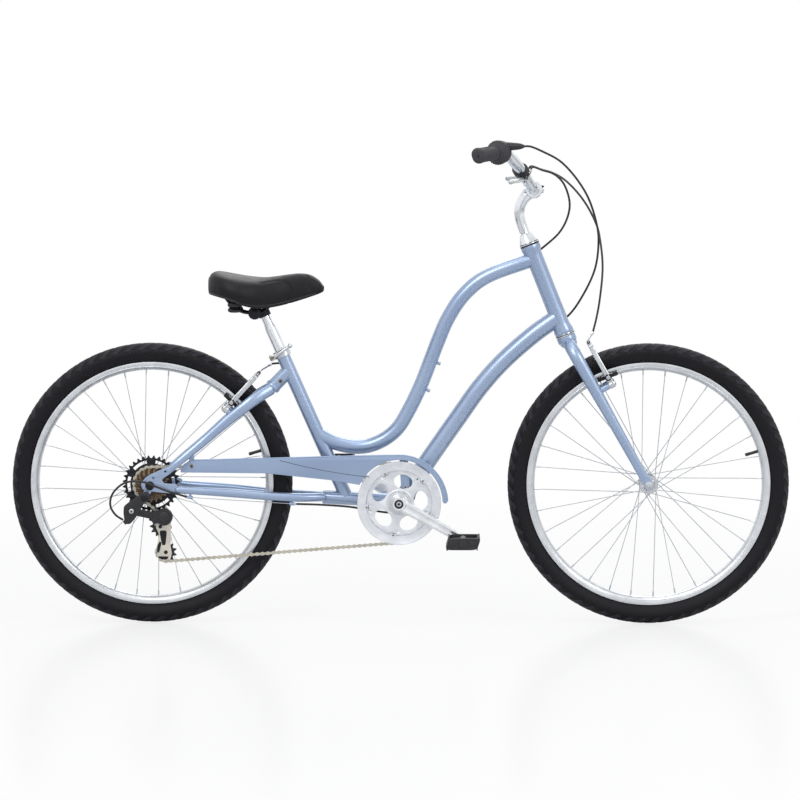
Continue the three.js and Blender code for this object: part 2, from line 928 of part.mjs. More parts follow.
function chainstayRight() {
  const low = along(stops[1], stopHeading, -cableStopLength);
  const bore = room(low, along(stops[0], stopHeading, cableStopLength), wireRadius, studSides);
  const stay = joined(mirrored(chainstay()), hanger(), ...stops.map(cableStop));
  return cut(stay, bore, lowerTube(gap));
}

// How the arms of the rim brakes stand: up the arm, and out from the blade or stay
const bladeTop = along(steeringFoot, steerUp, -crownDrop);
const bladeEnd = along(along(frontAxle, forwards, -forkDropoutRadius), upwards, forkDropoutRise);
const frontArmUp = heading(bladeEnd, bladeTop);
const frontArmOut = frontArmUp.clone().cross(sideways).negate();
const frontPivot = along(
  along(bladeTop, frontArmUp, -frontBrakeDrop),
  frontArmOut,
  frontBrakeReach,
);
const rearArmUp = new THREE.Vector3(Math.cos(rearBrakeAngle), 0, Math.sin(rearBrakeAngle));
const rearArmOut = rearArmUp.clone().cross(sideways);
const rearPivot = at(rearBrakeShare);

function brakeBoss(pivot, out, reach) {
  const place = along(pivot, sideways, bossOffset);
  const seat = armThickness / 2 + gap;
  const foot = along(place, out, -reach);
  return joined(
    bar(foot, along(place, out, -seat), bossRadius, studSides),
    bar(foot, along(place, out, seat), studRadius, studSides),
  );
}

// The seatstay meets the dropout's upper edge squarely
function seatstay() {
  const [upper, lower] = dropoutShares.slice(0, 2).map((share) => onDropout(share, dropoutMiddle));
  const outward = heading(upper, lower).cross(sideways).normalize();
  if (outward.x < 0) outward.negate();
  const end = along(upper.clone().lerp(lower, 0.5), outward, gap);
  const points = [...stayPoints(seatstayShares), along(end, outward, stayStraight), end];
  const rows = [...seatstayShares, seatstayEndShares, seatstayEndShares];
  const tube = stayTube(points, rows, seatstayDepth, seatstayHalfWidth);
  return joined(tube, brakeBoss(rearPivot, rearArmOut, rearBrakeReach));
}

// The tab under the right seatstay that holds the rear of the chain guard
function guardTab() {
  const screw = at(guardTabShare);
  const inner = -guardPlateOffset + gap + guardTabPlate;
  const across = [screw.x - guardTabWidth / 2, screw.x + guardTabWidth / 2];
  const top = screw.z + guardTabLength - guardTabWidth / 2;
  const face = block(across, [inner - guardTabPlate, inner], [screw.z - guardTabWidth / 2, top]);
  return joined(face, block(across, [-guardTabFoot, inner], [top - guardTabWidth, top]));
}

add(bike, 'head_tube', headTube(), paint);
add(bike, 'top_tube', topTube(), paint);
add(bike, 'down_tube', downTube(), paint);
add(bike, 'seat_tube', seatTube(), paint);
add(bike, 'bottom_bracket_shell', bottomBracketShell(), paint);
add(bike, 'chainstay_right', chainstayRight(), paint);
add(bike, 'chainstay_left', cut(chainstay(), lowerTube(gap)), paint);
add(bike, 'seatstay_right', cut(joined(mirrored(seatstay()), guardTab()), stub(gap)), paint);
add(bike, 'seatstay_left', cut(seatstay(), stub(gap)), paint);

// Headset: a lower cup, and an upper cup whose tall cone turns with the fork
const steererRoom = roomFor(steererRadius, boreSides);
const stemRoom = roomFor(stemRadius, boreSides);

function headsetLower() {
  const rows = [
    [steererRoom, -lowerCupHeight],
    [headFlareRadius, -lowerCupHeight],
    [headFlareRadius, -gap],
    [headsetSkirtRadius, -gap],
    [headsetSkirtRadius, cupSkirt],
    [steererRoom, cupSkirt],
  ];
  return moved(turned(rows, boreSides, true), standing(steeringFoot, steerUp));
}

function headsetUpper() {
  const rows = [
    [steererRoom, -cupSkirt],
    [headsetSkirtRadius, -cupSkirt],
    [headsetSkirtRadius, gap],
    [headFlareRadius, gap],
    [headFlareRadius, conePlinthHeight],
    [coneFootRadius, conePlinthHeight],
    [coneTopRadius, coneHeight],
    [stemRoom, coneHeight],
    [stemRoom, steererRise + gap],
    [steererRoom, steererRise + gap],
  ];
  return moved(turned(rows, boreSides, true), standing(headTop, steerUp));
}

// Fork: steerer, crown, two blades with brake bosses, and round dropouts
const bladeLength = bladeTop.distanceTo(bladeEnd);
const forkMiddle = frontHalf + forkDropoutPlate / 2;

function blade() {
  const points = bladeShares.map(([down, side]) =>
    along(along(bladeTop, frontArmUp, -down * bladeLength), sideways, side * forkMiddle),
  );
  const depths = bladeShares.map((row) => row[2] * bladeDepth);
  const widths = bladeShares.map((row) => row[3] * bladeHalfWidth);
  return ovalTube(points, sideways, widths, depths, staySides, 9);
}

function forkDropout() {
  const leg = along(bladeEnd, frontArmUp, forkDropoutRadius / 2);
  const first = along(leg, frontArmOut, -forkDropoutRadius);
  const second = along(leg, frontArmOut, forkDropoutRadius);
  const lean = Math.atan2(frontArmOut.z, frontArmOut.x);
  const round = arc(frontAxle, forkDropoutRadius, lean, lean - Math.PI, studSides);
  const outline = [[first.x, first.z], [second.x, second.z], ...round];
  return plate(outline, frontHalf, frontHalf + forkDropoutPlate);
}

function fork() {
  const steererTop = along(headTop, steerUp, steererRise);
  const steerer = bar(bladeTop, steererTop, steererRadius, boreSides);
  const seatTop = along(steeringFoot, steerUp, -lowerCupHeight - gap);
  const seat = bar(bladeTop, seatTop, headFlareRadius - gap, boreSides);
  const boss = brakeBoss(frontPivot, frontArmOut, frontBrakeReach);
  const side = joined(blade(), forkDropout(), boss);
  const boreFoot = along(steererTop, steerUp, -quillBoreDepth);
  const bore = room(boreFoot, along(steererTop, steerUp, overrun), quillRadius, boreSides);
  const axleRoom = roomAcross(frontAxle, frontSpacing, frontRodRadius, pinSides);
  const wheelRoom = block(
    [frontAxle.x - forkWheelRoom, frontAxle.x + forkWheelRoom],
    [-frontHalf, frontHalf],
    [frontAxle.z - forkWheelRoom, frontAxle.z + forkWheelRoom],
  );
  return cut(joined(steerer, seat, side, mirrored(side)), bore, axleRoom, wheelRoom);
}

add(bike, 'headset_lower', headsetLower(), blackSteel);
add(bike, 'headset_upper', headsetUpper(), chrome);
add(bike, 'fork', fork(), paint);

// Rows of a section on the +Y side of the middle, after the same rows on the other side
const bothSides = (rows, middle = []) => [
  ...rows.map(([radius, y]) => [radius, -y]),
  ...middle,
  ...rows.slice().reverse(),
];

// Tyre: a closed ring whose beads sit in the rim's bed
const tyreShares = [[0.22, 0.88], [0.55, 1], [0.86, 0.68]];

function tyre() {
  const bead = rimWidth / 2 - rimWall - gap;
  const depth = wheelRadius - rimRadius;
  const rows = [
    [rimRadius - rimBedDrop + gap, bead],
    [rimRadius + gap, bead],
    ...tyreShares.map(([up, out]) => [rimRadius + up * depth, (out * tyreWidth) / 2]),
  ];
  return turned(bothSides(rows, [[wheelRadius, 0]]), wheelSides, true);
}

// Rim: a deep section with a trough for the tyre, narrowing to the spoke bed
const rimInner = rimRadius - rimDepth;
const rimShares = [[0, 0.45], [0.4, 1]];

function rim() {
  const half = rimWidth / 2;
  const rows = [
    ...rimShares.map(([up, out]) => [rimInner + up * rimDepth, out * half]),
    [rimRadius, half],
    [rimRadius, half - rimWall],
    [rimRadius - rimBedDrop, half - rimWall],
  ];
  return turned(bothSides(rows), wheelSides, true);
}

// The spokes of one flange, laced over three others, ending inside the flats of the rim
function spokes(flangeY, turn) {
  const perFlange = spokeCount / 2;
  const step = (2 * Math.PI) / perFlange;
  const rimY = Math.sign(flangeY) * rimSpokeOffset;
  const reach = rimInner * Math.cos(Math.PI / wheelSides) - spokeRadius;
  const all = [];
  for (let i = 0; i < perFlange; i++) {
    const lean = i % 2 === 0 ? 1 : -1;
    const from = i * step + turn;
    const to = (i + lean * spokeCross) * step + turn;
    const y = flangeY + lean * spokeOffset;
    const start = new THREE.Vector3(spokeCircle * Math.cos(from), y, spokeCircle * Math.sin(from));
    const end = new THREE.Vector3(reach * Math.cos(to), rimY, reach * Math.sin(to));
    all.push(bar(start, end, spokeRadius, spokeSides));
  }
  return joined(...all);
}

const spokeTurn = Math.PI / (2 * spokeCount);
const hubBore = frontRodRadius + hubRoom;

function flange(centre) {
  return barY(flangeRadius, centre - flangeThickness / 2, centre + flangeThickness / 2, hubSides);
}

// A hub: a barrel, two flanges, a bearing cup at each end, and the spokes
function hub(body, lowCup, highCup, lowFlange, highFlange) {
  const bore = barY(hubBore, -rearSpacing, rearSpacing, pinSides);
  const cups = [
    roomY(coneRadius, -rearSpacing, lowCup, pinSides),
    roomY(coneRadius, highCup, rearSpacing, pinSides),
  ];
  return joined(
    cut(joined(body, flange(lowFlange), flange(highFlange)), bore, ...cups),
    spokes(lowFlange, spokeTurn),
    spokes(highFlange, 5 * spokeTurn),
  );
}

const frontHubEnd = frontHalf - frontHubInset;
const rearHubLeft = rearHalf - rearHubInsetLeft;
const rearHubRight = rearHalf - rearHubInsetRight;

function frontHub() {
  const barrel = barY(frontBarrelRadius, -frontHubEnd, frontHubEnd, hubSides);
  const cup = frontHubEnd - cupDepth;
  return hub(barrel, -cup, cup, -frontFlangeOffset, frontFlangeOffset);
}

function rearHub() {
  const threadEnd = -rearFlangeRight - freewheelThreadLength;
  const body = joined(
    barY(rearBarrelRadius, -rearFlangeRight, rearFlangeLeft, hubSides),
    barY(rearHubNeckRadius, -rearHubRight, rearHubLeft, hubSides),
    barY(freewheelThreadRadius, threadEnd, -rearFlangeRight, hubSides),
  );
  const [low, high] = [-rearHubRight + cupDepth, rearHubLeft - cupDepth];
  return hub(body, low, high, -rearFlangeRight, rearFlangeLeft);
}

// An axle with its cones inside the dropouts and a capped nut outside each of them
function axle(rod, spacingHalf, plateThickness, coneStart) {
  const face = spacingHalf + plateThickness + gap;
  const rows = [
    [0, face + nutLength],
    [nutRadius / 2, face + nutLength],
    [nutRadius, face + nutLength - nutCrown],
    [nutRadius, face],
    [rod, face],
    [rod, spacingHalf - gap],
    [coneRadius, spacingHalf - gap],
    [coneRadius, coneStart],
    [rod, coneStart],
  ];
  return turned(bothSides(rows), studSides);
}

const pitchRadius = (teeth) => chainPitch / (2 * Math.sin(Math.PI / teeth));

// A toothed disc about +Y: a root and a tip point for each tooth
function toothed(teeth, thickness, centre, holes = []) {
  const pitch = pitchRadius(teeth);
  const outline = Array.from({ length: 2 * teeth }, (_, i) => {
    const angle = (Math.PI * i) / teeth;
    const radius = i % 2 === 0 ? pitch - toothRoot : pitch + toothHeight;
    return [radius * Math.cos(angle), radius * Math.sin(angle)];
  });
  return plate(outline, centre - thickness / 2, centre + thickness / 2, holes);
}

const cogOffset = (index) => -(largestCogOffset + cogPitch * index);

// A small cog without its teeth, as wide as the circle that the chain runs on
function plainCog(teeth, centre) {
  return barY(pitchRadius(teeth), centre - cogThickness / 2, centre + cogThickness / 2, hubSides);
}

function freewheel() {
  const outer = cogOffset(cogTeeth.length - 1) - cogThickness / 2;
  const core = barY(freewheelCoreRadius, outer, cogOffset(0) + cogThickness / 2, pinSides);
  const cogs = cogTeeth.map((teeth, i) =>
    i <= engagedCog ? toothed(teeth, cogThickness, cogOffset(i)) : plainCog(teeth, cogOffset(i)),
  );
  const bore = roomY(freewheelThreadRadius, -rearSpacing, rearSpacing, hubSides);
  return cut(joined(core, ...cogs), bore);
}

// Wheels, each in a group at its axle
const frontWheel = groupAt(frontAxle);
const frontCone = frontHubEnd - cupDepth + gap;
const frontRod = axle(frontRodRadius, frontHalf, forkDropoutPlate, frontCone);
add(frontWheel, 'front_tyre', tyre(), tyreRubber);
add(frontWheel, 'front_rim', rim(), alloy);
add(frontWheel, 'front_hub', frontHub(), alloy);
add(frontWheel, 'front_axle', frontRod, blackSteel);

const rearWheel = groupAt(rearAxle);
const rearCone = rearHubLeft - cupDepth + gap;
const rearRod = axle(rearRodRadius, rearHalf, dropoutPlate, rearCone);
add(rearWheel, 'rear_tyre', tyre(), tyreRubber);
add(rearWheel, 'rear_rim', rim(), alloy);
add(rearWheel, 'rear_hub', rearHub(), alloy);
add(rearWheel, 'rear_axle', rearRod, blackSteel);
add(rearWheel, 'freewheel', freewheel(), bronze);

// Cranks and chainring, in a group at the bottom bracket turned to the crank's angle
const crankset = groupAt(bottomBracket);
crankset.rotation.y = crankAngle;

function spindle() {
  const outer = shellLength / 2 - gap;
  const rows = [
    [0, spindleEnd],
    [spindleRadius, spindleEnd],
    [spindleRadius, outer],
    [bearingRadius, outer],
    [bearingRadius, outer - bearingWidth],
    [spindleRadius, outer - bearingWidth],
  ];
  return turned(bothSides(rows), pinSides);
}

const spindleRoom = roomY(spindleRadius, 0, spindleEnd + gap, pinSides);

// A crank on the +Y side: its boss on the spindle, its arm along +X and its pedal's axle
function crank(inner) {
  const [near, middle, far] = crankRouteShares.map((share) => share * crankLength);
  const points = [
    new THREE.Vector3(-crankDepth / 2, crankOffset, 0),
    new THREE.Vector3(near, crankOffset, 0),
    new THREE.Vector3(middle, (crankOffset + crankPedalOffset) / 2, 0),
    new THREE.Vector3(far, crankPedalOffset, 0),
    new THREE.Vector3(crankLength + crankTipRadius / 2, crankPedalOffset, 0),
  ];
  const thin = crankTipHalfThickness;
  const widths = [crankHalfThickness, crankHalfThickness, thin, thin, thin];
  const depths = [crankDepth, crankDepth, crankTipRadius, crankTipRadius, crankTipRadius];
  const arm = ovalTube(points, sideways, widths, depths, staySides, 8);
  const boss = barY(crankBossRadius, inner, crankOffset + crankHalfThickness, pinSides);
  const eye = barY(crankTipRadius, crankPedalOffset - thin, crankPedalOffset + thin, pinSides);
  const axleEnd = pedalOffset + pedalWidth / 2 - pedalRail / 2;
  const pedalAxle = barY(pedalAxleRadius, crankPedalOffset, axleEnd, pinSides);
  const tip = joined(eye, pedalAxle).translate([crankLength, 0, 0]);
  return cut(joined(arm, boss, tip), spindleRoom);
}

// The right crank also carries the boss that the chainring is held on
function crankRight() {
  const face = chainringOffset + chainringThickness / 2 + gap;
  const boss = joined(
    barY(ringBossRadius, face, face + ringBossDepth, pinSides),
    barY(crankBossRadius, chainringOffset - chainringThickness / 2, face, pinSides),
  );
  return mirrored(joined(crank(crankInnerRight), cut(boss, spindleRoom)));
}

function chainring() {
  const windows = Array.from({ length: ringWindows }, (_, i) => {
    const lean = (2 * Math.PI * (i + 0.5)) / ringWindows;
    return Array.from({ length: pinSides }, (_, j) => {
      const angle = (2 * Math.PI * j) / pinSides;
      const radial = ringWindowCircle + ringWindowShort * Math.cos(angle);
      const tangent = ringWindowLong * Math.sin(angle);
      return [
        radial * Math.cos(lean) - tangent * Math.sin(lean),
        radial * Math.sin(lean) + tangent * Math.cos(lean),
      ];
    });
  });
  const disc = toothed(chainringTeeth, chainringThickness, -chainringOffset, windows);
  return cut(disc, roomY(crankBossRadius, -2 * chainringOffset, 0, pinSides));
}

// The guard ring outside the chainring, with a clip beside each window
function guardRing() {
  const outer = -guardDiscOffset - guardDiscThickness;
  const rows = [
    [guardDiscInner, outer],
    [guardDiscOuter, outer],
    [guardDiscOuter, -guardDiscOffset],
    [guardDiscInner, -guardDiscOffset],
  ];
  const face = -chainringOffset - chainringThickness / 2 - gap;
  const clip = block(
    [guardDiscInner - guardClipDepth, guardDiscInner + guardDiscThickness],
    [outer, face],
    [-guardClipWidth / 2, guardClipWidth / 2],
  );
  const clips = Array.from({ length: ringWindows }, (_, i) => {
    const turn = (2 * Math.PI * i) / ringWindows;
    return moved(clip, new THREE.Matrix4().makeRotationY(turn));
  });
  return joined(turned(rows, wheelSides, true), ...clips);
}

const leftCrankTurn = new THREE.Group();
leftCrankTurn.rotation.y = Math.PI;
crankset.add(leftCrankTurn);
add(crankset, 'bottom_bracket_spindle', spindle(), steel);
add(crankset, 'crank_right', crankRight(), alloy);
add(leftCrankTurn, 'crank_left', crank(crankInnerLeft), alloy);
add(crankset, 'chainring', chainring(), whiteSteel);
add(crankset, 'chainring_guard', guardRing(), whiteSteel);

// A platform pedal round its axle, level, with a window on each side of its barrel
function pedal() {
  const halfWidth = pedalWidth / 2;
  const halfLength = pedalLength / 2;
  const outline = pedalShares.map(([x, z]) => [x * halfLength, (z * pedalHeight) / 2]);
  const across = [-halfWidth + pedalRail, halfWidth - pedalRail];
  const through = [-pedalHeight, pedalHeight];
  const front = block([pedalBarrelRadius, halfLength - pedalRail], across, through);
  const rear = block([-halfLength + pedalRail, -pedalBarrelRadius], across, through);
  const bore = roomY(pedalAxleRadius, -pedalWidth, pedalWidth, pinSides);
  return cut(plate(outline, -halfWidth, halfWidth), front, rear, bore);
}

// A pedal stays level while its crank turns, so it stands outside the crank's group
const crankHeading = new THREE.Vector3(Math.cos(crankAngle), 0, -Math.sin(crankAngle));

for (const [name, side] of [['pedal_right', -1], ['pedal_left', 1]]) {
  const place = along(bottomBracket, crankHeading, -side * crankLength);
  add(groupAt(along(place, sideways, side * pedalOffset)), name, pedal(), blackPlastic);
}

// Rear derailleur. Its link turns between the ears of the knuckle and of the pivot body,
// in a frame whose x runs down the link and whose z is the link's upright
const pulleyOffset = cogOffset(engagedCog);
const guidePulley = at(guidePulleyShare, pulleyOffset);
const tensionPulley = at(tensionPulleyShare, pulleyOffset);
const cagePivot = at(cagePivotShare);
const linkRoot = at(linkRootShare, -linkRootOffset);
const linkFall = heading(at(linkRootShare), at(linkTipShare));
const linkFrame = framed(linkRoot, linkFall, sideways, linkFall.clone().cross(sideways));
const linkTip = at(linkTipShare, -linkTipOffset).applyMatrix4(linkFrame.clone().invert());
const halfLink = linkHeight / 2;
const linkPinReach = halfLink + 2 * gap;

// A pin along the link's upright, at a point of its plan
function linkPin([x, y], radius, reach) {
  const [start, end] = [-reach, reach].map((z) => new THREE.Vector3(x, y, z));
  return bar(start.applyMatrix4(linkFrame), end.applyMatrix4(linkFrame), radius, pinSides);
}

// A block in the link's frame beside a point of its plan
function linkBlock([x, y], [back, front], half, reach) {
  return moved(block([x + back, x + front], [y - half, y + half], [-reach, reach]), linkFrame);
}

// The ears that hold one end of the link, and the slot and pin between them
function linkEars(place, range) {
  const reach = halfLink + gap + linkEar;
  return joined(
    linkBlock(place, range, linkEndRadius, reach),
    linkPin(place, linkEndRadius, reach),
  );
}

function linkSlot(place, range) {
  const reach = halfLink + gap;
  return joined(
    linkBlock(place, range, knuckleThickness, reach),
    linkPin(place, roomFor(linkEndRadius, pinSides), reach),
  );
}

const rootPlan = [0, 0];
const tipPlan = [linkTip.x, linkTip.y];

function link() {
  const length = Math.hypot(...tipPlan);
  const slab = block([0, length], [-linkEndRadius, linkEndRadius], [-halfLink, halfLink]);
  const turn = new THREE.Matrix4().makeRotationZ(Math.atan2(linkTip.y, linkTip.x));
  const web = moved(moved(slab, turn), linkFrame);
  const eyes = [rootPlan, tipPlan].map((place) => linkPin(place, linkEndRadius, halfLink));
  const hole = roomFor(linkPinRadius, pinSides);
  const holes = [rootPlan, tipPlan].map((place) => linkPin(place, hole, linkHeight));
  return cut(joined(web, ...eyes), ...holes);
}

// An outline from steps away from named places
function outlineFrom(rows, places, scale) {
  return rows.map(([name, x, z]) => [places[name].x + x * scale, places[name].z + z * scale]);
}

// The knuckle hangs on the hanger bolt and carries the link and the end of the cable
function knuckle() {
  const inner = -rearHalf - dropoutPlate - gap;
  const outer = inner - knuckleThickness;
  const places = { bolt: hangerBolt, root: linkRoot, barrel: at(barrelShare) };
  const arm = plate(outlineFrom(knuckleShares, places, knuckleRadius), outer, inner);
  const disc = plate(circle(hangerBolt, knuckleRadius, boreSides), outer, inner);
  const bolt = bar(
    along(hangerBolt, sideways, outer),
    along(hangerBolt, sideways, gap - rearHalf),
    cagePivotRadius,
    pinSides,
  );
  const body = joined(arm, disc, linkEars(rootPlan, [-knuckleRadius, 0]));
  const slot = linkSlot(rootPlan, [-linkSetback, linkTip.x]);
  return joined(cut(body, slot), bolt, linkPin(rootPlan, linkPinRadius, linkPinReach));
}

// The pivot body: a drum that the cage turns in, and the ears of the link's other end
const pivotBodyInner = pulleyOffset - cageHalfGap - cagePlateThickness - gap;

function pivotBody() {
  const outer = pivotBodyInner - pivotBodyThickness;
  const drum = plate(circle(cagePivot, pivotBodyRadius, boreSides), outer, pivotBodyInner);
  const hole = room(
    along(cagePivot, sideways, pivotBodyInner - cagePinDepth - gap),
    along(cagePivot, sideways, pivotBodyInner + overrun),
    cagePivotRadius,
    pinSides,
  );
  const slot = linkSlot(tipPlan, [-pivotBodyRadius, linkSetback]);
  const body = joined(drum, linkEars(tipPlan, [0, pivotBodyRadius]));
  return joined(cut(body, slot, hole), linkPin(tipPlan, linkPinRadius, linkPinReach));
}

// The cage: two plates joined by the two pulley pins, and the pin that it turns on
function cage() {
  const places = { pivot: cagePivot, guide: guidePulley, tension: tensionPulley };
  const [outer, inner] = [pulleyOffset - cageHalfGap, pulleyOffset + cageHalfGap];
  const outerOutline = outlineFrom(outerCageShares, places, cageEndRadius);
  const innerOutline = outlineFrom(innerCageShares, places, cageEndRadius);
  const half = cageHalfGap + cagePlateThickness / 2;
  const pins = [guidePulley, tensionPulley].map((place) => {
    const [start, end] = [along(place, sideways, -half), along(place, sideways, half)];
    return bar(start, end, pulleyPinRadius, pinSides);
  });
  const pivotPin = bar(
    along(cagePivot, sideways, outer),
    along(cagePivot, sideways, pivotBodyInner - cagePinDepth),
    cagePivotRadius,
    pinSides,
  );
  return joined(
    plate(outerOutline, outer - cagePlateThickness, outer),
    plate(innerOutline, inner, inner + cagePlateThickness),
    ...pins,
    pivotPin,
  );
}

function pulley() {
  const half = cageHalfGap - gap;
  const boss = barY(cagePivotRadius, -half, half, pinSides);
  const bore = roomY(pulleyPinRadius, -half - overrun, half + overrun, pinSides);
  return cut(joined(toothed(pulleyTeeth, pulleyThickness, 0), boss), bore);
}

add(bike, 'derailleur_knuckle', knuckle(), blackPlastic);
add(bike, 'derailleur_link', link(), blackPlastic);
add(bike, 'derailleur_pivot_body', pivotBody(), blackPlastic);
add(bike, 'derailleur_cage', cage(), cageGrey);
add(groupAt(guidePulley), 'guide_pulley', pulley(), blackPlastic);
add(groupAt(tensionPulley), 'tension_pulley', pulley(), blackPlastic);

// The closed path of a belt round wheels listed in the order that it meets them.
// turn is 1 for clockwise seen from the right of the bike, and -1 for the other way
function beltPath(wheels) {
  const count = wheels.length;
  const runs = wheels.map((wheel, i) => {
    const next = wheels[(i + 1) % count];
    const across = new THREE.Vector2(next.x - wheel.x, next.z - wheel.z);
    const unit = across.clone().normalize();
    const normal = new THREE.Vector2(-unit.y, unit.x);
    const from = wheel.turn * wheel.radius;
    const to = next.turn * next.radius;
    const tilt = Math.asin((to - from) / across.length());
    const side = normal.multiplyScalar(Math.cos(tilt)).addScaledVector(unit, -Math.sin(tilt));
    return {
      start: new THREE.Vector2(wheel.x, wheel.z).addScaledVector(side, from),
      end: new THREE.Vector2(next.x, next.z).addScaledVector(side, to),
    };
  });
  return wheels.flatMap((wheel, i) => {
    const arrive = runs[(i + count - 1) % count].end;
    const leave = runs[i].start;
    const full = 2 * Math.PI;
    const first = Math.atan2(arrive.y - wheel.z, arrive.x - wheel.x);
    const raw = Math.atan2(leave.y - wheel.z, leave.x - wheel.x) - first;
    const sweep = wheel.turn > 0 ? ((raw % full) - full) % full : ((raw % full) + full) % full;
    return Array.from({ length: wheel.steps + 1 }, (_, s) => {
      const angle = first + (sweep * s) / wheel.steps;
      const x = wheel.x + wheel.radius * Math.cos(angle);
      const z = wheel.z + wheel.radius * Math.sin(angle);
      return { point: new THREE.Vector3(x, wheel.y, z), leaves: s === wheel.steps };
    });
  });
}

// Chain: a strip of link plates each side of the teeth, joined by rollers on the free runs
function chain() {
  const wheel = ({ x, z }, y, teeth, turn, steps) =>
    ({ x, y, z, radius: pitchRadius(teeth), turn, steps });
  const path = beltPath([
    wheel(rearAxle, pulleyOffset, cogTeeth[engagedCog], 1, 8),
    wheel(bottomBracket, -chainringOffset, chainringTeeth, 1, 12),
    wheel(tensionPulley, pulleyOffset, pulleyTeeth, 1, 4),
    wheel(guidePulley, pulleyOffset, pulleyTeeth, -1, 3),
  ]);
  const count = path.length;
  const strip = (side) => {
    const rings = path.map(({ point }, i) => {
      const before = path[(i + count - 1) % count].point;
      const after = path[(i + 1) % count].point;
      const forward = after.clone().sub(before).setY(0).normalize();
      const out = sideways.clone().cross(forward);
      const low = along(point, out, -chainPlateHalfHeight);
      const high = along(point, out, chainPlateHalfHeight);
      return [
        along(low, sideways, side * chainPlateInner),
        along(high, sideways, side * chainPlateInner),
        along(high, sideways, side * chainPlateOuter),
        along(low, sideways, side * chainPlateOuter),
      ];
    });
    return lofted(rings, true);
  };
  const reach = (chainPlateInner + chainPlateOuter) / 2;
  const rollers = path.flatMap(({ point, leaves }, i) => {
    if (!leaves) return [];
    const next = path[(i + 1) % count].point;
    const number = Math.max(1, Math.floor(point.distanceTo(next) / (chainPitch * rollerPitches)));
    return Array.from({ length: number }, (_, r) => {
      const middle = point.clone().lerp(next, (r + 1) / (number + 1));
      const [start, end] = [along(middle, sideways, -reach), along(middle, sideways, reach)];
      return bar(start, end, chainRollerRadius, cableSides);
    });
  });
  return joined(strip(-1), strip(1), ...rollers);
}

add(bike, 'chain', chain(), chainSteel);

// Chain guard: a plate outside the chain, a lip over it and a bracket to the down tube
function chainGuard() {
  const corners = [guardTailShare, guardHeelShare, guardBellyShare, guardFootShare];
  const [tail, heel, belly, foot] = corners.map((share) => at(share)).map(({ x, z }) => [x, z]);
  const [low, high] = [-guardPlateOffset - guardPlateThickness, -guardPlateOffset];
  const outerArc = arc(bottomBracket, guardArchOuter, guardArchHead, guardArchTip, 9);
  const innerArc = arc(bottomBracket, guardArchInner, guardArchTip, guardArchFoot, 14);
  const tipHeading = new THREE.Vector3(Math.cos(guardArchTip), 0, Math.sin(guardArchTip));
  const tipCentre = along(bottomBracket, tipHeading, (guardArchInner + guardArchOuter) / 2);
  const tipRadius = (guardArchOuter - guardArchInner) / 2;
  const tip = arc(tipCentre, tipRadius, guardArchTip, guardArchTip - Math.PI, 4).slice(1, -1);
  const face = plate([heel, tail, ...outerArc, ...tip, ...innerArc, foot, belly], low, high);
  const lipTop = [[tail[0] + guardLipSetback, tail[1]], ...outerArc.slice(0, 6)];
  const lipUnder = lipTop.map(([x, z]) => [x, z - guardLipThickness]).reverse();
  const inner = high + guardLipDepth;
  const lip = plate([...lipTop, ...lipUnder], high - guardPlateThickness / 2, inner);
  const screw = at(guardScrewShare);
  const roof = Math.sqrt(guardArchOuter ** 2 - guardBracketWidth ** 2) - guardLipThickness / 2;
  const bracket = plate(
    [
      [bottomBracket.x, bottomBracket.z + guardArchOuter - guardLipThickness],
      [bottomBracket.x + guardBracketWidth, bottomBracket.z + roof],
      [screw.x + guardBracketWidth / 2, screw.z - guardBossRadius],
      [screw.x - guardBracketWidth / 2, screw.z - guardBossRadius],
    ],
    inner - guardBracketThickness,
    inner,
  );
  const bossStart = along(screw, sideways, inner - guardBracketThickness);
  const boss = bar(bossStart, screw, guardBossRadius, studSides);
  return cut(joined(face, lip, bracket, boss), downTubeOuter(gap), shell(gap));
}

add(bike, 'chain_guard', chainGuard(), guardPaint);

// How far up the arm the pad meets the braking track of the rim
function padReach(pivot, up, wheelCentre) {
  const from = pivot.clone().sub(wheelCentre);
  const half = from.dot(up);
  return Math.sqrt(half * half - from.lengthSq() + brakeTrack * brakeTrack) - half;
}

// Rim brake arm on the +Y side: its eye, its arm, the pad's post and the pad
function brakeArm(pivot, up, wheelCentre) {
  const outline = armShares.map(([x, z]) => [x * armHalfWidth, z * armLength]);
  const slab = plate(outline, -armThickness / 2, armThickness / 2);
  const bore = roomY(studRadius, -armThickness, armThickness, pinSides);
  const place = along(pivot, sideways, bossOffset);
  const arm = moved(cut(slab, bore), framed(place, sideways, up.clone().cross(sideways), up));
  const padCentre = along(pivot, up, padReach(pivot, up, wheelCentre));
  const radial = heading(wheelCentre, padCentre);
  const tangent = sideways.clone().cross(radial);
  const face = along(padCentre, sideways, rimWidth / 2 + padGap);
  const box = block(
    [-padLength / 2, padLength / 2],
    [0, padThickness],
    [-padHeight / 2, padHeight / 2],
  );
  const pad = moved(box, framed(face, tangent, sideways, radial));
  const postStart = along(face, sideways, padThickness / 2);
  const postEnd = along(padCentre, sideways, bossOffset);
  return joined(arm, pad, bar(postStart, postEnd, padPostRadius, studSides));
}

const frontArm = brakeArm(frontPivot, frontArmUp, frontAxle);
const rearArm = brakeArm(rearPivot, rearArmUp, rearAxle);
add(bike, 'front_brake_arm_right', mirrored(frontArm), alloy);
add(bike, 'front_brake_arm_left', frontArm, alloy);
add(bike, 'rear_brake_arm_right', mirrored(rearArm), alloy);
add(bike, 'rear_brake_arm_left', rearArm, alloy);

// Handlebar: straight in the clamp, rising and sweeping back to two straight ends
const barCentre = at(stemShares.at(-1));

function onBar([back, up, side]) {
  const step = new THREE.Vector3(-back * barSweep, side * barHalfWidth, up * barRise);
  return barCentre.clone().add(step);
}

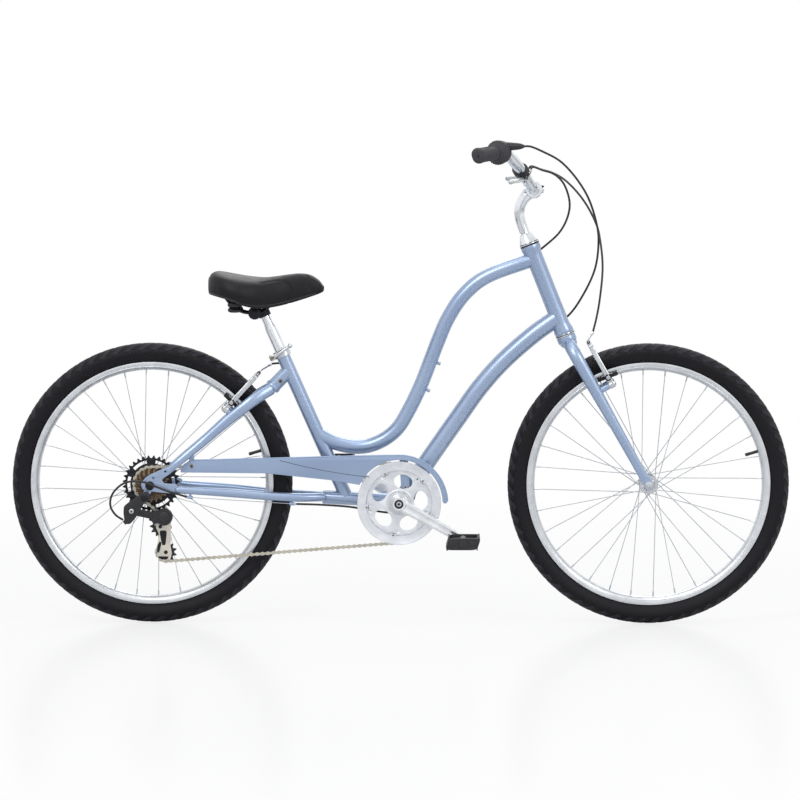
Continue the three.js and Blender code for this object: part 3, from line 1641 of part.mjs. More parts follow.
const barEnd = onBar(barEndShare);
const barInward = heading(barEnd, onBar(barBendShare));
const barLeft = [
  ...barShares.slice(1).map(onBar),
  along(barEnd, barInward, barStraight + barEase),
  along(barEnd, barInward, barStraight),
  along(barEnd, barInward, barStraight / 2),
  barEnd,
];
const barRoute = [...barLeft.map(flipped).reverse(), barCentre, ...barLeft];

function handlebar(extra) {
  const radii = barRoute.map((_, i) => {
    const straight = Math.min(i, barRoute.length - 1 - i) < barLeft.length - barShares.length + 1;
    return (straight ? barEndRadius : barRadius) + extra;
  });
  return ovalTube(barRoute, upwards, radii, radii, barSides, 2 * barRoute.length - 2);
}

// Stem: a quill in the steerer, a curved neck, and the clamp round the bar with two ears
function stem() {
  const foot = along(headTop, steerUp, steererRise - quillDepth);
  const neckFoot = along(headTop, steerUp, steererRise + 2 * gap);
  const quill = bar(foot, along(headTop, steerUp, coneHeight), quillRadius, boreSides);
  const route = [neckFoot, ...stemShares.map((share) => at(share))];
  const neck = swept(route, stemRadius, tubeSides, 10);
  const half = clampWidth / 2;
  const clamp = moved(barY(clampRadius, -half, half, boreSides), standing(barCentre, sideways));
  const ears = block(
    [barCentre.x - clampEarReach, barCentre.x + clampEarReach],
    [-half, half],
    [barCentre.z - clampEarHeight / 2, barCentre.z + clampEarHeight / 2],
  );
  return cut(joined(quill, neck, clamp, ears), handlebar(gap));
}

add(bike, 'stem', stem(), chrome);
add(bike, 'handlebar', handlebar(0), chrome);

// Grips, twist grip and shifter, lathed along the straight left end; the right is mirrored
const onGrip = standing(barEnd, barInward);
const gripBore = roomFor(barEndRadius, boreSides);

function grip(length) {
  const rows = [
    [0, -gripWall],
    [gripCapRadius, -gripWall],
    [gripEndRadius, 0],
    [gripEndRadius, gripEndLength],
    [gripRadius, gripEndLength],
    [gripRadius, length],
    [gripBore, length],
    [gripBore, -gap],
    [0, -gap],
  ];
  return moved(turned(rows, boreSides), onGrip);
}

function twistGrip() {
  const low = rightGripLength + gap;
  const high = low + twistLength;
  const rows = [
    [gripBore, low],
    [twistNeckRadius, low],
    [twistWaistRadius, (low + high) / 2],
    [twistRadius, high - twistFlange],
    [twistRadius, high],
    [gripBore, high],
  ];
  return moved(turned(rows, boreSides, true), onGrip);
}

// The shifter's drum with the snout that the cable leaves by
const shifterLow = rightGripLength + twistLength + 2 * gap;
const shifterHigh = shifterLow + shifterLength;
const shifterMiddle = along(barEnd, barInward, (shifterLow + shifterHigh) / 2);
const snoutRoot = along(along(shifterMiddle, upwards, snoutLift), forwards, snoutLift / 2);
const shifterExit = onBar(shifterExitShare);

function shifterBody() {
  const rows = [
    [gripBore, shifterLow],
    [shifterRadius, shifterLow],
    [shifterRadius, shifterHigh],
    [gripBore, shifterHigh],
  ];
  const drum = moved(turned(rows, boreSides, true), onGrip);
  const end = along(shifterExit, heading(shifterExit, snoutRoot), gap);
  const snout = bar(snoutRoot, end, snoutRadius, studSides);
  const twistRoom = moved(barY(2 * twistRadius, -overrun, shifterLow, pinSides), onGrip);
  return joined(drum, cut(snout, twistRoom, handlebar(gap)));
}

add(bike, 'grip_right', mirrored(grip(rightGripLength)), gripRubber);
add(bike, 'grip_left', grip(leftGripLength), gripRubber);
add(bike, 'shifter_twist', mirrored(twistGrip()), gripRubber);
add(bike, 'shifter_body', mirrored(shifterBody()), blackPlastic);

// Brake levers on the left side, mirrored for the right
const leverPivot = onBar(leverPivotShare);
const leverBend = onBar(leverBendShare);
const leverTip = onBar(leverTipShare);
const cableExit = onBar(cableExitShare);
const leverPull = heading(barCentre, onBar(leverPullShare));
const leverAxis = heading(leverPivot, leverTip).cross(leverPull).normalize();

// A bar along the lever's axis through its pivot
function leverPin(radius, reach, sides) {
  const [start, end] = [-reach, reach].map((side) => along(leverPivot, leverAxis, side));
  return bar(start, end, radius, sides);
}

// The room that the lever's root sweeps in its bracket
function leverRoom() {
  const half = leverHalfThickness + gap;
  const side = leverHalfWidth + gap;
  const outward = heading(leverPivot, leverBend);
  const flat = along(outward, leverAxis, -outward.dot(leverAxis)).normalize();
  const slots = [0, leverSwing / 2, leverSwing].map((turn) => {
    const x = flat.clone().applyAxisAngle(leverAxis, turn);
    const y = leverAxis.clone().cross(x);
    const slot = block([0, leverRoomReach], [-side, side], [-half, half]);
    return moved(slot, framed(leverPivot, x, y, leverAxis));
  });
  return joined(leverPin(roomFor(leverEyeRadius, pinSides), half, pinSides), ...slots);
}

function leverBracket() {
  const curve = smooth(barRoute);
  const centre = curve.getPoint(leverRingShare);
  const tangent = curve.getTangent(leverRingShare);
  const ring = bar(
    along(centre, tangent, -bracketRingLength / 2),
    along(centre, tangent, bracketRingLength / 2),
    bracketRingRadius,
    tubeSides,
  );
  const reach = leverHalfThickness + gap + leverCheek;
  const body = bar(centre, leverPivot, bracketBodyRadius, studSides);
  const exit = along(cableExit, heading(cableExit, leverPivot), gap);
  const barrel = bar(leverPivot, exit, bracketBarrelRadius, studSides);
  const whole = joined(ring, leverPin(bracketBodyRadius, reach, pinSides), body, barrel);
  return joined(cut(whole, leverRoom(), handlebar(gap)), leverPin(leverPinRadius, reach, studSides));
}

function brakeLever() {
  const points = [leverPivot, leverBend, leverBend.clone().lerp(leverTip, 0.5), leverTip];
  const thin = points.map(() => leverHalfThickness);
  const wide = points.map(() => leverHalfWidth);
  const blade = ovalTube(points, leverAxis, thin, wide, studSides, 7);
  const ball = solid(new THREE.SphereGeometry(leverBallRadius, 6, 4));
  const eye = leverPin(leverEyeRadius, leverHalfThickness, pinSides);
  const hole = leverPin(roomFor(leverPinRadius, pinSides), bracketBodyRadius, pinSides);
  return cut(joined(eye, blade, ball.translate(leverTip.toArray())), hole);
}

add(bike, 'lever_bracket_right', mirrored(leverBracket()), blackPlastic);
add(bike, 'lever_bracket_left', leverBracket(), blackPlastic);
add(bike, 'brake_lever_right', mirrored(brakeLever()), alloy);
add(bike, 'brake_lever_left', brakeLever(), alloy);

// Seat clamp, in a frame at the top of the seat tube whose z runs up the tube
const seatAhead = sideways.clone().cross(seatUp);
const seatFrame = framed(seatTubeTop, seatAhead, sideways, seatUp);
const inSeat = (x, y, z) => new THREE.Vector3(x, y, z).applyMatrix4(seatFrame);
const collarLow = -seatCollarCover;
const collarHigh = seatCollarHeight - seatCollarCover;
const collarMiddle = (collarLow + collarHigh) / 2;

function seatClamp() {
  const ring = bar(inSeat(0, 0, collarLow), inSeat(0, 0, collarHigh), seatCollarRadius, boreSides);
  const ears = block(
    [-quickRodOffset - quickNutRadius, 0],
    [-seatCollarEar, seatCollarEar],
    [collarLow, collarHigh],
  );
  const rodEnd = -quickDrumOffset + quickDrumRadius + gap;
  const nutLow = inSeat(-quickRodOffset, seatCollarEar, collarMiddle);
  const nutHigh = inSeat(-quickRodOffset, seatCollarEar + quickNutLength, collarMiddle);
  const rod = bar(inSeat(-quickRodOffset, rodEnd, collarMiddle), nutLow, quickRodRadius, studSides);
  const nut = bar(nutLow, nutHigh, quickNutRadius, pinSides);
  const top = inSeat(0, 0, 0);
  const tubeRoom = room(inSeat(0, 0, -seatTubeLength / 2), top, seatTubeRadius, boreSides);
  const postRoom = room(inSeat(0, 0, -gap), inSeat(0, 0, seatCollarHeight), postRadius, boreSides);
  return cut(joined(ring, moved(ears, seatFrame), rod, nut), tubeRoom, postRoom);
}

// The quick release lever turns about a line along the seat tube
function seatClampLever() {
  const drumLow = inSeat(-quickRodOffset, -quickDrumOffset, collarMiddle - quickDrumHeight / 2);
  const drumHigh = inSeat(-quickRodOffset, -quickDrumOffset, collarMiddle + quickDrumHeight / 2);
  const middle = (quickArmLength / 2) - quickRodOffset;
  const tip = inSeat(quickArmLength - quickRodOffset, -quickArmOffset, collarMiddle + quickArmRise);
  const points = [
    inSeat(-quickRodOffset, -quickDrumOffset, collarMiddle),
    inSeat(middle, -quickArmOffset, collarMiddle + quickArmRise / 2),
    tip,
  ];
  const ball = solid(new THREE.SphereGeometry(quickBallRadius, 6, 4)).translate(tip.toArray());
  const arm = swept(points, quickArmRadius, cableSides, 4);
  return joined(bar(drumLow, drumHigh, quickDrumRadius, pinSides), arm, ball);
}

// Seat post: a tube with a narrower neck that the saddle's clamp grips
const neckTop = postExposed + postNeckLength;

function seatPost() {
  const rows = [
    [0, postExposed - postLength],
    [postRadius, postExposed - postLength],
    [postRadius, postExposed - postShoulder],
    [postNeckRadius, postExposed],
    [postNeckRadius, neckTop],
    [0, neckTop],
  ];
  return moved(turned(rows, boreSides), standing(seatTubeTop, seatUp));
}

function rails(extra) {
  return [-1, 1].map((side) => {
    const route = railShares.map(([x, z, wide]) => at([x, z], side * wide * railSpacing));
    return swept(route, railRadius + extra, cableSides, 9);
  });
}

// The clamp that joins the saddle's rails to the post
function saddleClamp() {
  const half = railClampWidth / 2;
  const drum = moved(barY(railClampRadius, -half, half, pinSides), standing(at(railClampShare), sideways));
  const socketRadius = postNeckRadius + gap + socketWall;
  const low = along(seatTubeTop, seatUp, postExposed + socketWall);
  const high = along(seatTubeTop, seatUp, neckTop - socketWall);
  const post = room(
    along(seatTubeTop, seatUp, postExposed - overrun),
    along(seatTubeTop, seatUp, neckTop + overrun),
    postNeckRadius,
    boreSides,
  );
  return cut(joined(drum, bar(low, high, socketRadius, boreSides)), post, ...rails(gap));
}

// Saddle: a crowned cover with drawn in sides, hollow below its foam, over a pan on rails
const saddlePlace = at(saddlePlaceShare);
const saddleX = (place) => saddlePlace.x + place * saddleLength;
const saddleZ = (share) => saddlePlace.z + share * saddleHeight;

function saddleRing([place, top, skirt, width]) {
  const half = width * saddleHalfWidth;
  const right = saddleCrownShares.map(([share, drop]) => {
    const z = saddleZ(top - drop * (top - skirt));
    return new THREE.Vector3(saddleX(place), -share * half, z);
  });
  return [...right, ...right.slice(1).map(flipped).reverse()];
}

// A slab under the foam: four corners for each section, between two heights from the roof
function saddleSlab(low, high, inset) {
  const rings = saddleShares.slice(2, -2).map(([place, top, skirt, width]) => {
    const roof = saddleZ(skirt + (top - skirt) * saddleRoofShare);
    const half = width * saddleHalfWidth * saddleSkirtShare - saddleEdge - inset;
    const corners = [[-half, low], [-half, high], [half, high], [half, low]];
    return corners.map(([y, z]) => new THREE.Vector3(saddleX(place), y, roof + z));
  });
  for (const point of rings[0]) point.x += inset;
  for (const point of rings.at(-1)) point.x -= inset;
  return lofted(rings);
}

function saddleCover() {
  return cut(lofted(saddleShares.map(saddleRing)), saddleSlab(-saddleHeight, 0, 0));
}

function saddleBase() {
  const bumpers = [-1, 1].map((side) => {
    const foot = at(bumperShare, side * bumperSpacing);
    return bar(foot, along(foot, upwards, bumperLength), bumperRadius, studSides);
  });
  return joined(saddleSlab(-saddlePanThickness - gap, -gap, gap), ...rails(0), ...bumpers);
}

add(bike, 'seat_clamp', seatClamp(), blackSteel);
add(bike, 'seat_clamp_lever', seatClampLever(), alloy);
add(bike, 'seat_post', seatPost(), chrome);
add(bike, 'saddle_clamp', saddleClamp(), blackSteel);
add(bike, 'saddle_base', saddleBase(), blackPlastic);
add(bike, 'saddle_cover', saddleCover(), vinyl);

// Cables, along routes whose points are chosen by hand
const route = (points) => points.map(([x, y, z]) => new THREE.Vector3(x, y, z));
const shiftRoute = route([
  [327, -190, 1109], [373, -165, 1083], [429, -115, 1014], [456, -70, 943],
  [462, -45, 900], [455, -15, 834], [424, 16, 764], [396, 33, 724], [360, 34, 697],
  [321, 24, 671], [283, 22, 643], [250, 22, 611], [196, 22, 550], [149, 22, 484],
  [108, 22, 426], [69, 22, 369], [43, 22, 322], [30, 19.5, 286], [20, 14.5, 265],
  [2, 8, 259.5], [-30, -6, 261], [-70, -18, 268], [-117, -24, 276], [-180, -32, 281.5],
]);
const rearBrakeRoute = route([
  [330, -92, 1065], [357, -75, 1056], [380, -55, 1034], [395, -30, 990],
  [391, -8, 955], [373, 12, 919], [334, 33, 882], [296, 27, 854], [250, 21, 835],
  [197, 20.4, 812], [147.6, 20.4, 771], [111, 20.4, 716], [89, 20.4, 664], [65, 20.4, 601],
  [49, 20.4, 561], [21, 20.4, 502], [-5, 20.4, 460], [-36, 20.4, 434], [-71, 20.4, 419],
  [-101, 20.4, 415.3], [-130, 20.4, 419], [-160, 20.6, 430], [-188, 20.4, 455],
  [-208, 19.8, 490], [-228, 19.8, 532], [-248, 20, 575], [-262, 20.5, 599],
  [-280, 20, 610], [-302, 28, 609],
]);
const frontBrakeRoute = route([
  [331, 92, 1065], [358, 76, 1057], [387, 60, 1040], [429, 35, 994], [460, 12, 935],
  [468, 0, 898], [473, -15, 839], [466, -28, 763], [458, -34, 719], [450, -39, 688],
]);
const derailleurRoute = route([
  [-512, -74, 309], [-531, -82, 315], [-567.5, -92, 330], [-593, -93.5, 340],
  [-619, -92.5, 342.3], [-640.5, -92, 337.7], [-659.5, -91, 323.5], [-671.6, -89, 304.2],
  [-673, -87, 282.6], [-662.5, -84, 263.5], [-650, -82, 254],
]);

const cable = (points, steps) => swept(points, housingRadius, cableSides, steps);

// The first two points of a cable, straight out of the body that it leaves
const lead = (root, exit) => [exit, along(exit, heading(root, exit), cableLead)];

// A brake cable: its housing ends in a noodle bent over one arm, and a wire crosses to the other
function brakeCable(points, steps, pivot, up, side) {
  const over = along(pivot, up, armLength + housingRadius + gap);
  const [near, far] = [side, -side].map((sign) => along(over, sideways, sign * bossOffset));
  const inner = near.clone().lerp(far, noodleShare);
  const bend = along(near, up, 2 * housingRadius);
  const wireStart = along(inner, heading(far, near), wireRadius);
  const housing = cable([...points, bend, inner], steps);
  return joined(housing, bar(wireStart, far, wireRadius, cableSides));
}

// The last stretch to the derailleur: a bare wire between the stops, then a looped housing
const stopReach = stopHalf + housingRadius / 2;

function derailleurCable() {
  const barrel = at(barrelShare, -linkRootOffset);
  const end = along(barrel, heading(barrel, derailleurRoute.at(-1)), barrelLength);
  const start = along(stops[1], stopHeading, -stopReach);
  const wire = bar(stops[0], along(start, stopHeading, -housingRadius), wireRadius, cableSides);
  return joined(wire, cable([start, ...derailleurRoute, end], 24));
}

const shiftLead = lead(snoutRoot, shifterExit).map(flipped);
const leverLead = lead(leverPivot, cableExit);
const shiftPoints = [...shiftLead, ...shiftRoute, along(stops[0], stopHeading, stopReach)];
const rearPoints = [...leverLead.map(flipped), ...rearBrakeRoute];
const frontPoints = [...leverLead, ...frontBrakeRoute];
const rearBrakeCable = brakeCable(rearPoints, 44, rearPivot, rearArmUp, 1);
const frontBrakeCable = brakeCable(frontPoints, 26, frontPivot, frontArmUp, -1);
add(bike, 'shift_cable', cable(shiftPoints, 44), blackPlastic);
add(bike, 'rear_brake_cable', rearBrakeCable, blackPlastic);
add(bike, 'front_brake_cable', frontBrakeCable, blackPlastic);
add(bike, 'derailleur_cable', derailleurCable(), blackPlastic);

export default bike;
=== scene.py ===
import math

import bmesh
import bpy
from mathutils import Matrix, Vector
from mathutils.bvhtree import BVHTree


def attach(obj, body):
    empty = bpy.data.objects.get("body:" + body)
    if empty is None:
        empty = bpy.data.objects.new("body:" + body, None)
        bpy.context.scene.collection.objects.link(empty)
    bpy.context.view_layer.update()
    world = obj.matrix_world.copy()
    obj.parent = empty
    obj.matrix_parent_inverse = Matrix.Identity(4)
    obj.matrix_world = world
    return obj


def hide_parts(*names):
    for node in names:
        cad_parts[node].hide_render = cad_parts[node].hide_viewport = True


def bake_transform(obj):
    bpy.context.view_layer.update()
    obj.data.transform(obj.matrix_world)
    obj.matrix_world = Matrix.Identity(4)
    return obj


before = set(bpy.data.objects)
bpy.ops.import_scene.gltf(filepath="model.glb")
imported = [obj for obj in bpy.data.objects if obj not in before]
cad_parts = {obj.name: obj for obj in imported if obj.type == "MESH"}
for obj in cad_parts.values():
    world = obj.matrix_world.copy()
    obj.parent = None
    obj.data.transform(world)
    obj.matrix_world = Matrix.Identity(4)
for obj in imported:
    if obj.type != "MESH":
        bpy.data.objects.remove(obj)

# A step through bicycle. Shapes are modelled in millimetres, in the frame of the solids, and
# brought to metres when a piece is finished: +X forward, +Y the rider's left, +Z up.
MM = 0.001
WHEELBASE = 1165
WHEEL = 330
HEAD_ANGLE, HEAD_LENGTH = 68.3, 222
SEAT_ANGLE, SEAT_LENGTH = 66, 371
X, Y, Z = Vector((1, 0, 0)), Vector((0, 1, 0)), Vector((0, 0, 1))

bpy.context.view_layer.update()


def at(x, z, y=0):
    """A place given as shares of the wheelbase: forward of the middle, up from the axles."""
    return Vector((x * WHEELBASE, y, WHEEL + z * WHEELBASE))


def at_side(place, y):
    """The same place of the side view, so far to the left."""
    return Vector((place.x, y, place.z))


def flip(place):
    """A place of the left side, brought to the right side."""
    return Vector((place.x, -place.y, place.z))


def tilted(degrees):
    """A direction in the side view, so many degrees up from straight ahead."""
    angle = math.radians(degrees)
    return Vector((math.cos(angle), 0, math.sin(angle)))


REAR, FRONT = at(-0.5, 0), at(0.5, 0)
BOTTOM = at(-0.0009, -0.0361)
STEER_FOOT = at(0.331, 0.3027)
STEER_UP = tilted(180 - HEAD_ANGLE)
HEAD_TOP = STEER_FOOT + STEER_UP * HEAD_LENGTH
SEAT_UP = tilted(180 - SEAT_ANGLE)
SEAT_AHEAD = Y.cross(SEAT_UP)
SEAT_TOP = at(-0.2388, 0.2645)


# Materials

def linear(tint):
    """A colour written as on a paint card, turned to the shader's own scale."""
    parts = [int(tint[i:i + 2], 16) / 255 for i in (0, 2, 4)]
    return tuple(p / 12.92 if p <= 0.04045 else ((p + 0.055) / 1.055) ** 2.4 for p in parts) + (1,)


class Signal:
    """A socket whose sums add their own Math nodes."""

    def __init__(self, finish, socket):
        self.finish, self.socket = finish, socket

    def maths(self, operation, *values):
        return self.finish.add("ShaderNodeMath", {"operation": operation}, dict(enumerate(values)))

    def __add__(self, other):
        return self.maths("ADD", self, other)

    __radd__ = __add__

    def __sub__(self, other):
        return self.maths("SUBTRACT", self, other)

    def __rsub__(self, other):
        return self.maths("SUBTRACT", other, self)

    def __mul__(self, other):
        return self.maths("MULTIPLY", self, other)

    __rmul__ = __mul__

    def sine(self):
        return self.maths("SINE", self)

    def above(self, edge, width):
        """0 below an edge and 1 above it, with a soft step between."""
        settings = {"interpolation_type": "SMOOTHSTEP"}
        return self.finish.add("ShaderNodeMapRange", settings, {0: self, 1: edge, 2: edge + width})


class Finish:
    """A material of the bicycle: its shader, its constants and its nodes."""

    def __init__(self, name, tint, roughness, metallic=0, **constants):
        self.material = bpy.data.materials.new(name)
        self.material.use_nodes = True
        self.tree = self.material.node_tree
        self.shader = self.tree.nodes["Principled BSDF"]
        self.tint = linear(tint)
        base = {"Base Color": self.tint, "Roughness": roughness, "Metallic": metallic}
        self.join(self.shader, {**base, **constants})

    def join(self, node, sockets):
        for name, value in sockets.items():
            if isinstance(value, Signal):
                self.tree.links.new(value.socket, node.inputs[name])
            else:
                node.inputs[name].default_value = value

    def add(self, kind, settings=None, sockets=None, output=0):
        node = self.tree.nodes.new(kind)
        for name, value in (settings or {}).items():
            setattr(node, name, value)
        self.join(node, sockets or {})
        return Signal(self, node.outputs[output])

    def place(self):
        """The place on the piece, in metres."""
        return self.add("ShaderNodeTexCoord", output=3)

    def noise(self, scale, detail):
        sockets = {"Vector": self.place(), "Scale": scale, "Detail": detail}
        return self.add("ShaderNodeTexNoise", {}, sockets)

    def mixed(self, factor, first, second):
        """A colour between two others."""
        settings = {"data_type": "RGBA"}
        return self.add("ShaderNodeMix", settings, {0: factor, 6: first, 7: second}, output=2)

    def color(self, value):
        self.join(self.shader, {"Base Color": value})
        return self

    def rough(self, value):
        self.join(self.shader, {"Roughness": value})
        return self

    def bumped(self, height, distance):
        """Height in the shader's own scale, with the depth of a full step in metres."""
        sockets = {"Height": height, "Distance": distance, "Strength": 1}
        self.join(self.shader, {"Normal": self.add("ShaderNodeBump", {}, sockets)})
        return self


def painted(name, tint, deep, roughness, coat):
    """Metallic paint: fine flakes in the colour under a clear coat, with slight orange peel."""
    paint = Finish(name, tint, roughness, 0.55, **{"Coat Weight": coat, "Coat Roughness": 0.08})
    flakes = paint.noise(2600, 1)
    clouds = paint.noise(6, 2)
    mask = flakes * 0.3 + clouds * 0.6 + 0.05
    paint.color(paint.mixed(mask.above(0.25, 0.5), linear(deep), paint.tint))
    paint.rough(clouds * 0.08 + (roughness - 0.04))
    return paint.bumped(paint.noise(70, 1), 0.00002)


def metal(name, tint, roughness, grain, metallic=1.0):
    """Bare metal with handling marks in its gloss and a fine grain."""
    steel = Finish(name, tint, roughness, metallic)
    marks = steel.noise(35, 3)
    steel.rough(marks * 0.12 + (roughness - 0.05))
    dull = tuple(part * 0.86 for part in steel.tint[:3]) + (1,)
    steel.color(steel.mixed(marks.above(0.35, 0.4), dull, steel.tint))
    return steel.bumped(steel.noise(120, 1), grain)


def moulded(name, tint, worn, roughness, grain, scale=900):
    """Moulded plastic or rubber: a fine leathery grain, paler where it is handled."""
    plastic = Finish(name, tint, roughness)
    marks = plastic.noise(60, 3)
    plastic.color(plastic.mixed(marks.above(0.45, 0.4) * 0.7, plastic.tint, linear(worn)))
    plastic.rough(marks * 0.2 + (roughness - 0.1))
    cells = plastic.add("ShaderNodeTexVoronoi", {}, {"Vector": plastic.place(), "Scale": scale})
    return plastic.bumped(cells, grain)


# The tyre's blocks: how many, the steps round each, the radius where they start, and their slant
TREAD_BLOCKS, BLOCK_STEPS, TREAD_FOOT, TREAD_LEAN = 64, 10, 311, 0.055


def tyre_rubber(name, centre):
    """Black tyre rubber, with slanted cuts across the shoulders and a ribbed side; the cuts and a band along
    each block's edge are painted near black as shade, and one part of each block paler as a painted
    highlight.
    """
    rubber = Finish(name, "100f15", 0.55, **{"Specular IOR Level": 0.22})
    from_centre = {"Vector": rubber.place(), "Location": tuple(-part * MM for part in centre)}
    local = rubber.add("ShaderNodeMapping", {}, from_centre)
    x, z = (rubber.add("ShaderNodeSeparateXYZ", {}, {0: local}, output=i) for i in (0, 2))
    angle = x.maths("ARCTAN2", z, x)
    radius = x.maths("SQRT", x * x + z * z)
    block = x.maths("FRACT", angle * (TREAD_BLOCKS / (2 * math.pi)) + radius * (TREAD_LEAN / MM))
    past_edge = radius - (block * (6.5 * MM) + (TREAD_FOOT + 0.5) * MM)
    shoulder = past_edge.above(0, 0.6 * MM)
    # painted shade: the cuts between the blocks and a band along each block's edge go near black; painted
    # highlight: one part of each block goes paler
    cut_shade = block.above(0.72, 0.08) * shoulder
    outline = shoulder * (1 - past_edge.above(0.9 * MM, 0.5 * MM))
    facet_highlight = shoulder * (1 - block.above(0.45, 0.05)) * past_edge.above(3 * MM, MM)
    ribs = (radius * 2600).sine().above(0.6, 0.3) * (1 - radius.above(300 * MM, 2 * MM))
    dust = rubber.noise(25, 3)
    dark = rubber.mixed(dust.above(0.4, 0.5) * 0.5, rubber.tint, linear("1a1920"))
    pale = rubber.mixed(facet_highlight, dark, linear("2b2932"))
    rubber.color(rubber.mixed((cut_shade + outline).above(0.2, 0.5), pale, linear("050507")))
    rubber.rough(dust * 0.2 + 0.45)
    return rubber.bumped(1 - outline * 0.7 - ribs * 0.1, 0.8 * MM)


def saddle_vinyl():
    """Black vinyl with a pebbled grain and soft creases."""
    vinyl = Finish("saddle vinyl", "121116", 0.5, **{"Specular IOR Level": 0.25})
    pebbles = vinyl.add("ShaderNodeTexVoronoi", {}, {"Vector": vinyl.place(), "Scale": 620})
    creases = vinyl.noise(40, 4)
    vinyl.color(vinyl.mixed(creases.above(0.4, 0.4) * 0.6, vinyl.tint, linear("1c1b21")))
    vinyl.rough(creases * 0.2 + 0.38)
    return vinyl.bumped(pebbles * 0.6 + creases * 0.5, 0.00025)


PAINT = painted("frame paint", "a4b6d1", "92a6c6", 0.3, 0.5)
GUARD_PAINT = painted("guard paint", "a0b3cf", "91a5c4", 0.42, 0.2)
CHROME = metal("chrome plate", "e9edf2", 0.08, 0.000004)
ALLOY = metal("satin alloy", "d3d6da", 0.26, 0.00001)
RIM_ALLOY = metal("rim alloy", "dcdfe3", 0.3, 0.00001)
STEEL = metal("zinc steel", "c3c7cc", 0.34, 0.00001)
WHITE_STEEL = metal("pale plated steel", "eef1f6", 0.3, 0.00001, 0.6)
BRONZE = metal("brown plated cogs", "8d7a60", 0.42, 0.00002, 0.8)
# a darker copy of the bronze, painted shade between the cogs
SHADED_BRONZE = metal("bronze cogs with painted shade", "4f4136", 0.42, 0.00002, 0.8)
POLISHED = metal("polished alloy", "f1f3f6", 0.2, 0.000004, 0.7)
CHAIN_STEEL = metal("oiled chain", "cdc7b6", 0.4, 0.00002, 0.75)
CAGE_STEEL = metal("cage steel", "ded8cc", 0.38, 0.00001, 0.6)
BLACK_STEEL = metal("black steel", "222329", 0.36, 0.00001, 0.6)
PLASTIC = moulded("black plastic", "1e1e22", "2a2a2f", 0.45, 0.00005)
GRIP = moulded("grip rubber", "363439", "454348", 0.7, 0.0001, 700)
HOUSING = moulded("cable housing", "1b1b1e", "26262a", 0.42, 0.00002)
PAD = moulded("brake pad rubber", "1f1f22", "303034", 0.8, 0.0001)
FRONT_RUBBER = tyre_rubber("front tyre rubber", FRONT)
REAR_RUBBER = tyre_rubber("rear tyre rubber", REAR)
VINYL = saddle_vinyl()


# Modelling

def select_only(*pieces):
    if bpy.context.mode != "OBJECT":
        bpy.ops.object.mode_set(mode="OBJECT")
    bpy.ops.object.select_all(action="DESELECT")
    for piece in pieces:
        piece.select_set(True)
    bpy.context.view_layer.objects.active = pieces[0] if pieces else None


def edited(piece):
    select_only(piece)
    bpy.ops.object.mode_set(mode="EDIT")
    bpy.ops.mesh.select_all(action="SELECT")


SHARP = math.radians(32)


def finished(piece, finish, soften=0.0, angle=40):
    """Rounds a shape's edges by so much, gives it its finish and smooths its curved faces."""
    if bpy.context.mode == "EDIT_MESH":
        bpy.ops.mesh.select_all(action="SELECT")
        bpy.ops.mesh.normals_make_consistent(inside=False)
    select_only(piece)
    if soften:
        round_off = piece.modifiers.new("round off", "BEVEL")
        round_off.width = soften
        round_off.segments = 2
        round_off.limit_method = "ANGLE"
        round_off.angle_limit = SHARP
        bpy.ops.object.modifier_apply(modifier="round off")
    piece.data.materials.clear()
    piece.data.materials.append(finish.material)
    bpy.ops.object.shade_smooth_by_angle(angle=math.radians(angle))
    return piece


def stood(piece, place, direction):
    """Stands a shape made along +Z at a place, along a direction."""
    turn = Vector(direction).normalized().to_track_quat("Z", "Y").to_matrix().to_4x4()
    piece.matrix_world = Matrix.Translation(place) @ turn @ piece.matrix_world
    select_only(piece)
    bpy.ops.object.transform_apply(location=True, rotation=True, scale=True)
    return piece


def turned(rows, finish, place=(0, 0, 0), direction=Y, sides=48, ring=False, soften=0.0):
    """A shape turned on a lathe: a circle extruded and resized from row to row of radius, height."""
    select_only()
    (radius, height), *rest = rows
    fill = "NOTHING" if ring else "NGON"
    bpy.ops.mesh.primitive_circle_add(vertices=sides, radius=radius, fill_type=fill, enter_editmode=True)
    piece = bpy.context.object
    bpy.ops.mesh.select_all(action="SELECT")
    bpy.ops.transform.translate(value=(0, 0, height))
    for wide, high in rest:
        step = {"value": (0, 0, high - height)}
        bpy.ops.mesh.extrude_region_move(TRANSFORM_OT_translate=step)
        factor = wide / radius
        bpy.ops.transform.resize(value=(factor, factor, 1), center_override=(0, 0, high))
        radius, height = wide, high
    if ring:
        bpy.ops.mesh.select_all(action="DESELECT")
        bpy.ops.mesh.select_non_manifold()
        bpy.ops.mesh.bridge_edge_loops()
    finished(piece, finish, soften)
    return stood(piece, place, direction)


def rod(start, end, radius, finish, sides=24, soften=0.0):
    start, end = Vector(start), Vector(end)
    rows = [(radius, 0), (radius, (end - start).length)]
    return turned(rows, finish, start, end - start, sides, soften=soften)


def both_ends(rows, length=0):
    """Rows of radius and height, and the same again for the other end of a length."""
    return rows + [(radius, length - height) for radius, height in reversed(rows)]


def lengths_along(points):
    """How far along a path each of its points lies."""
    lengths = [0.0]
    for p, q in zip(points, points[1:]):
        lengths.append(lengths[-1] + (q - p).length)
    return lengths


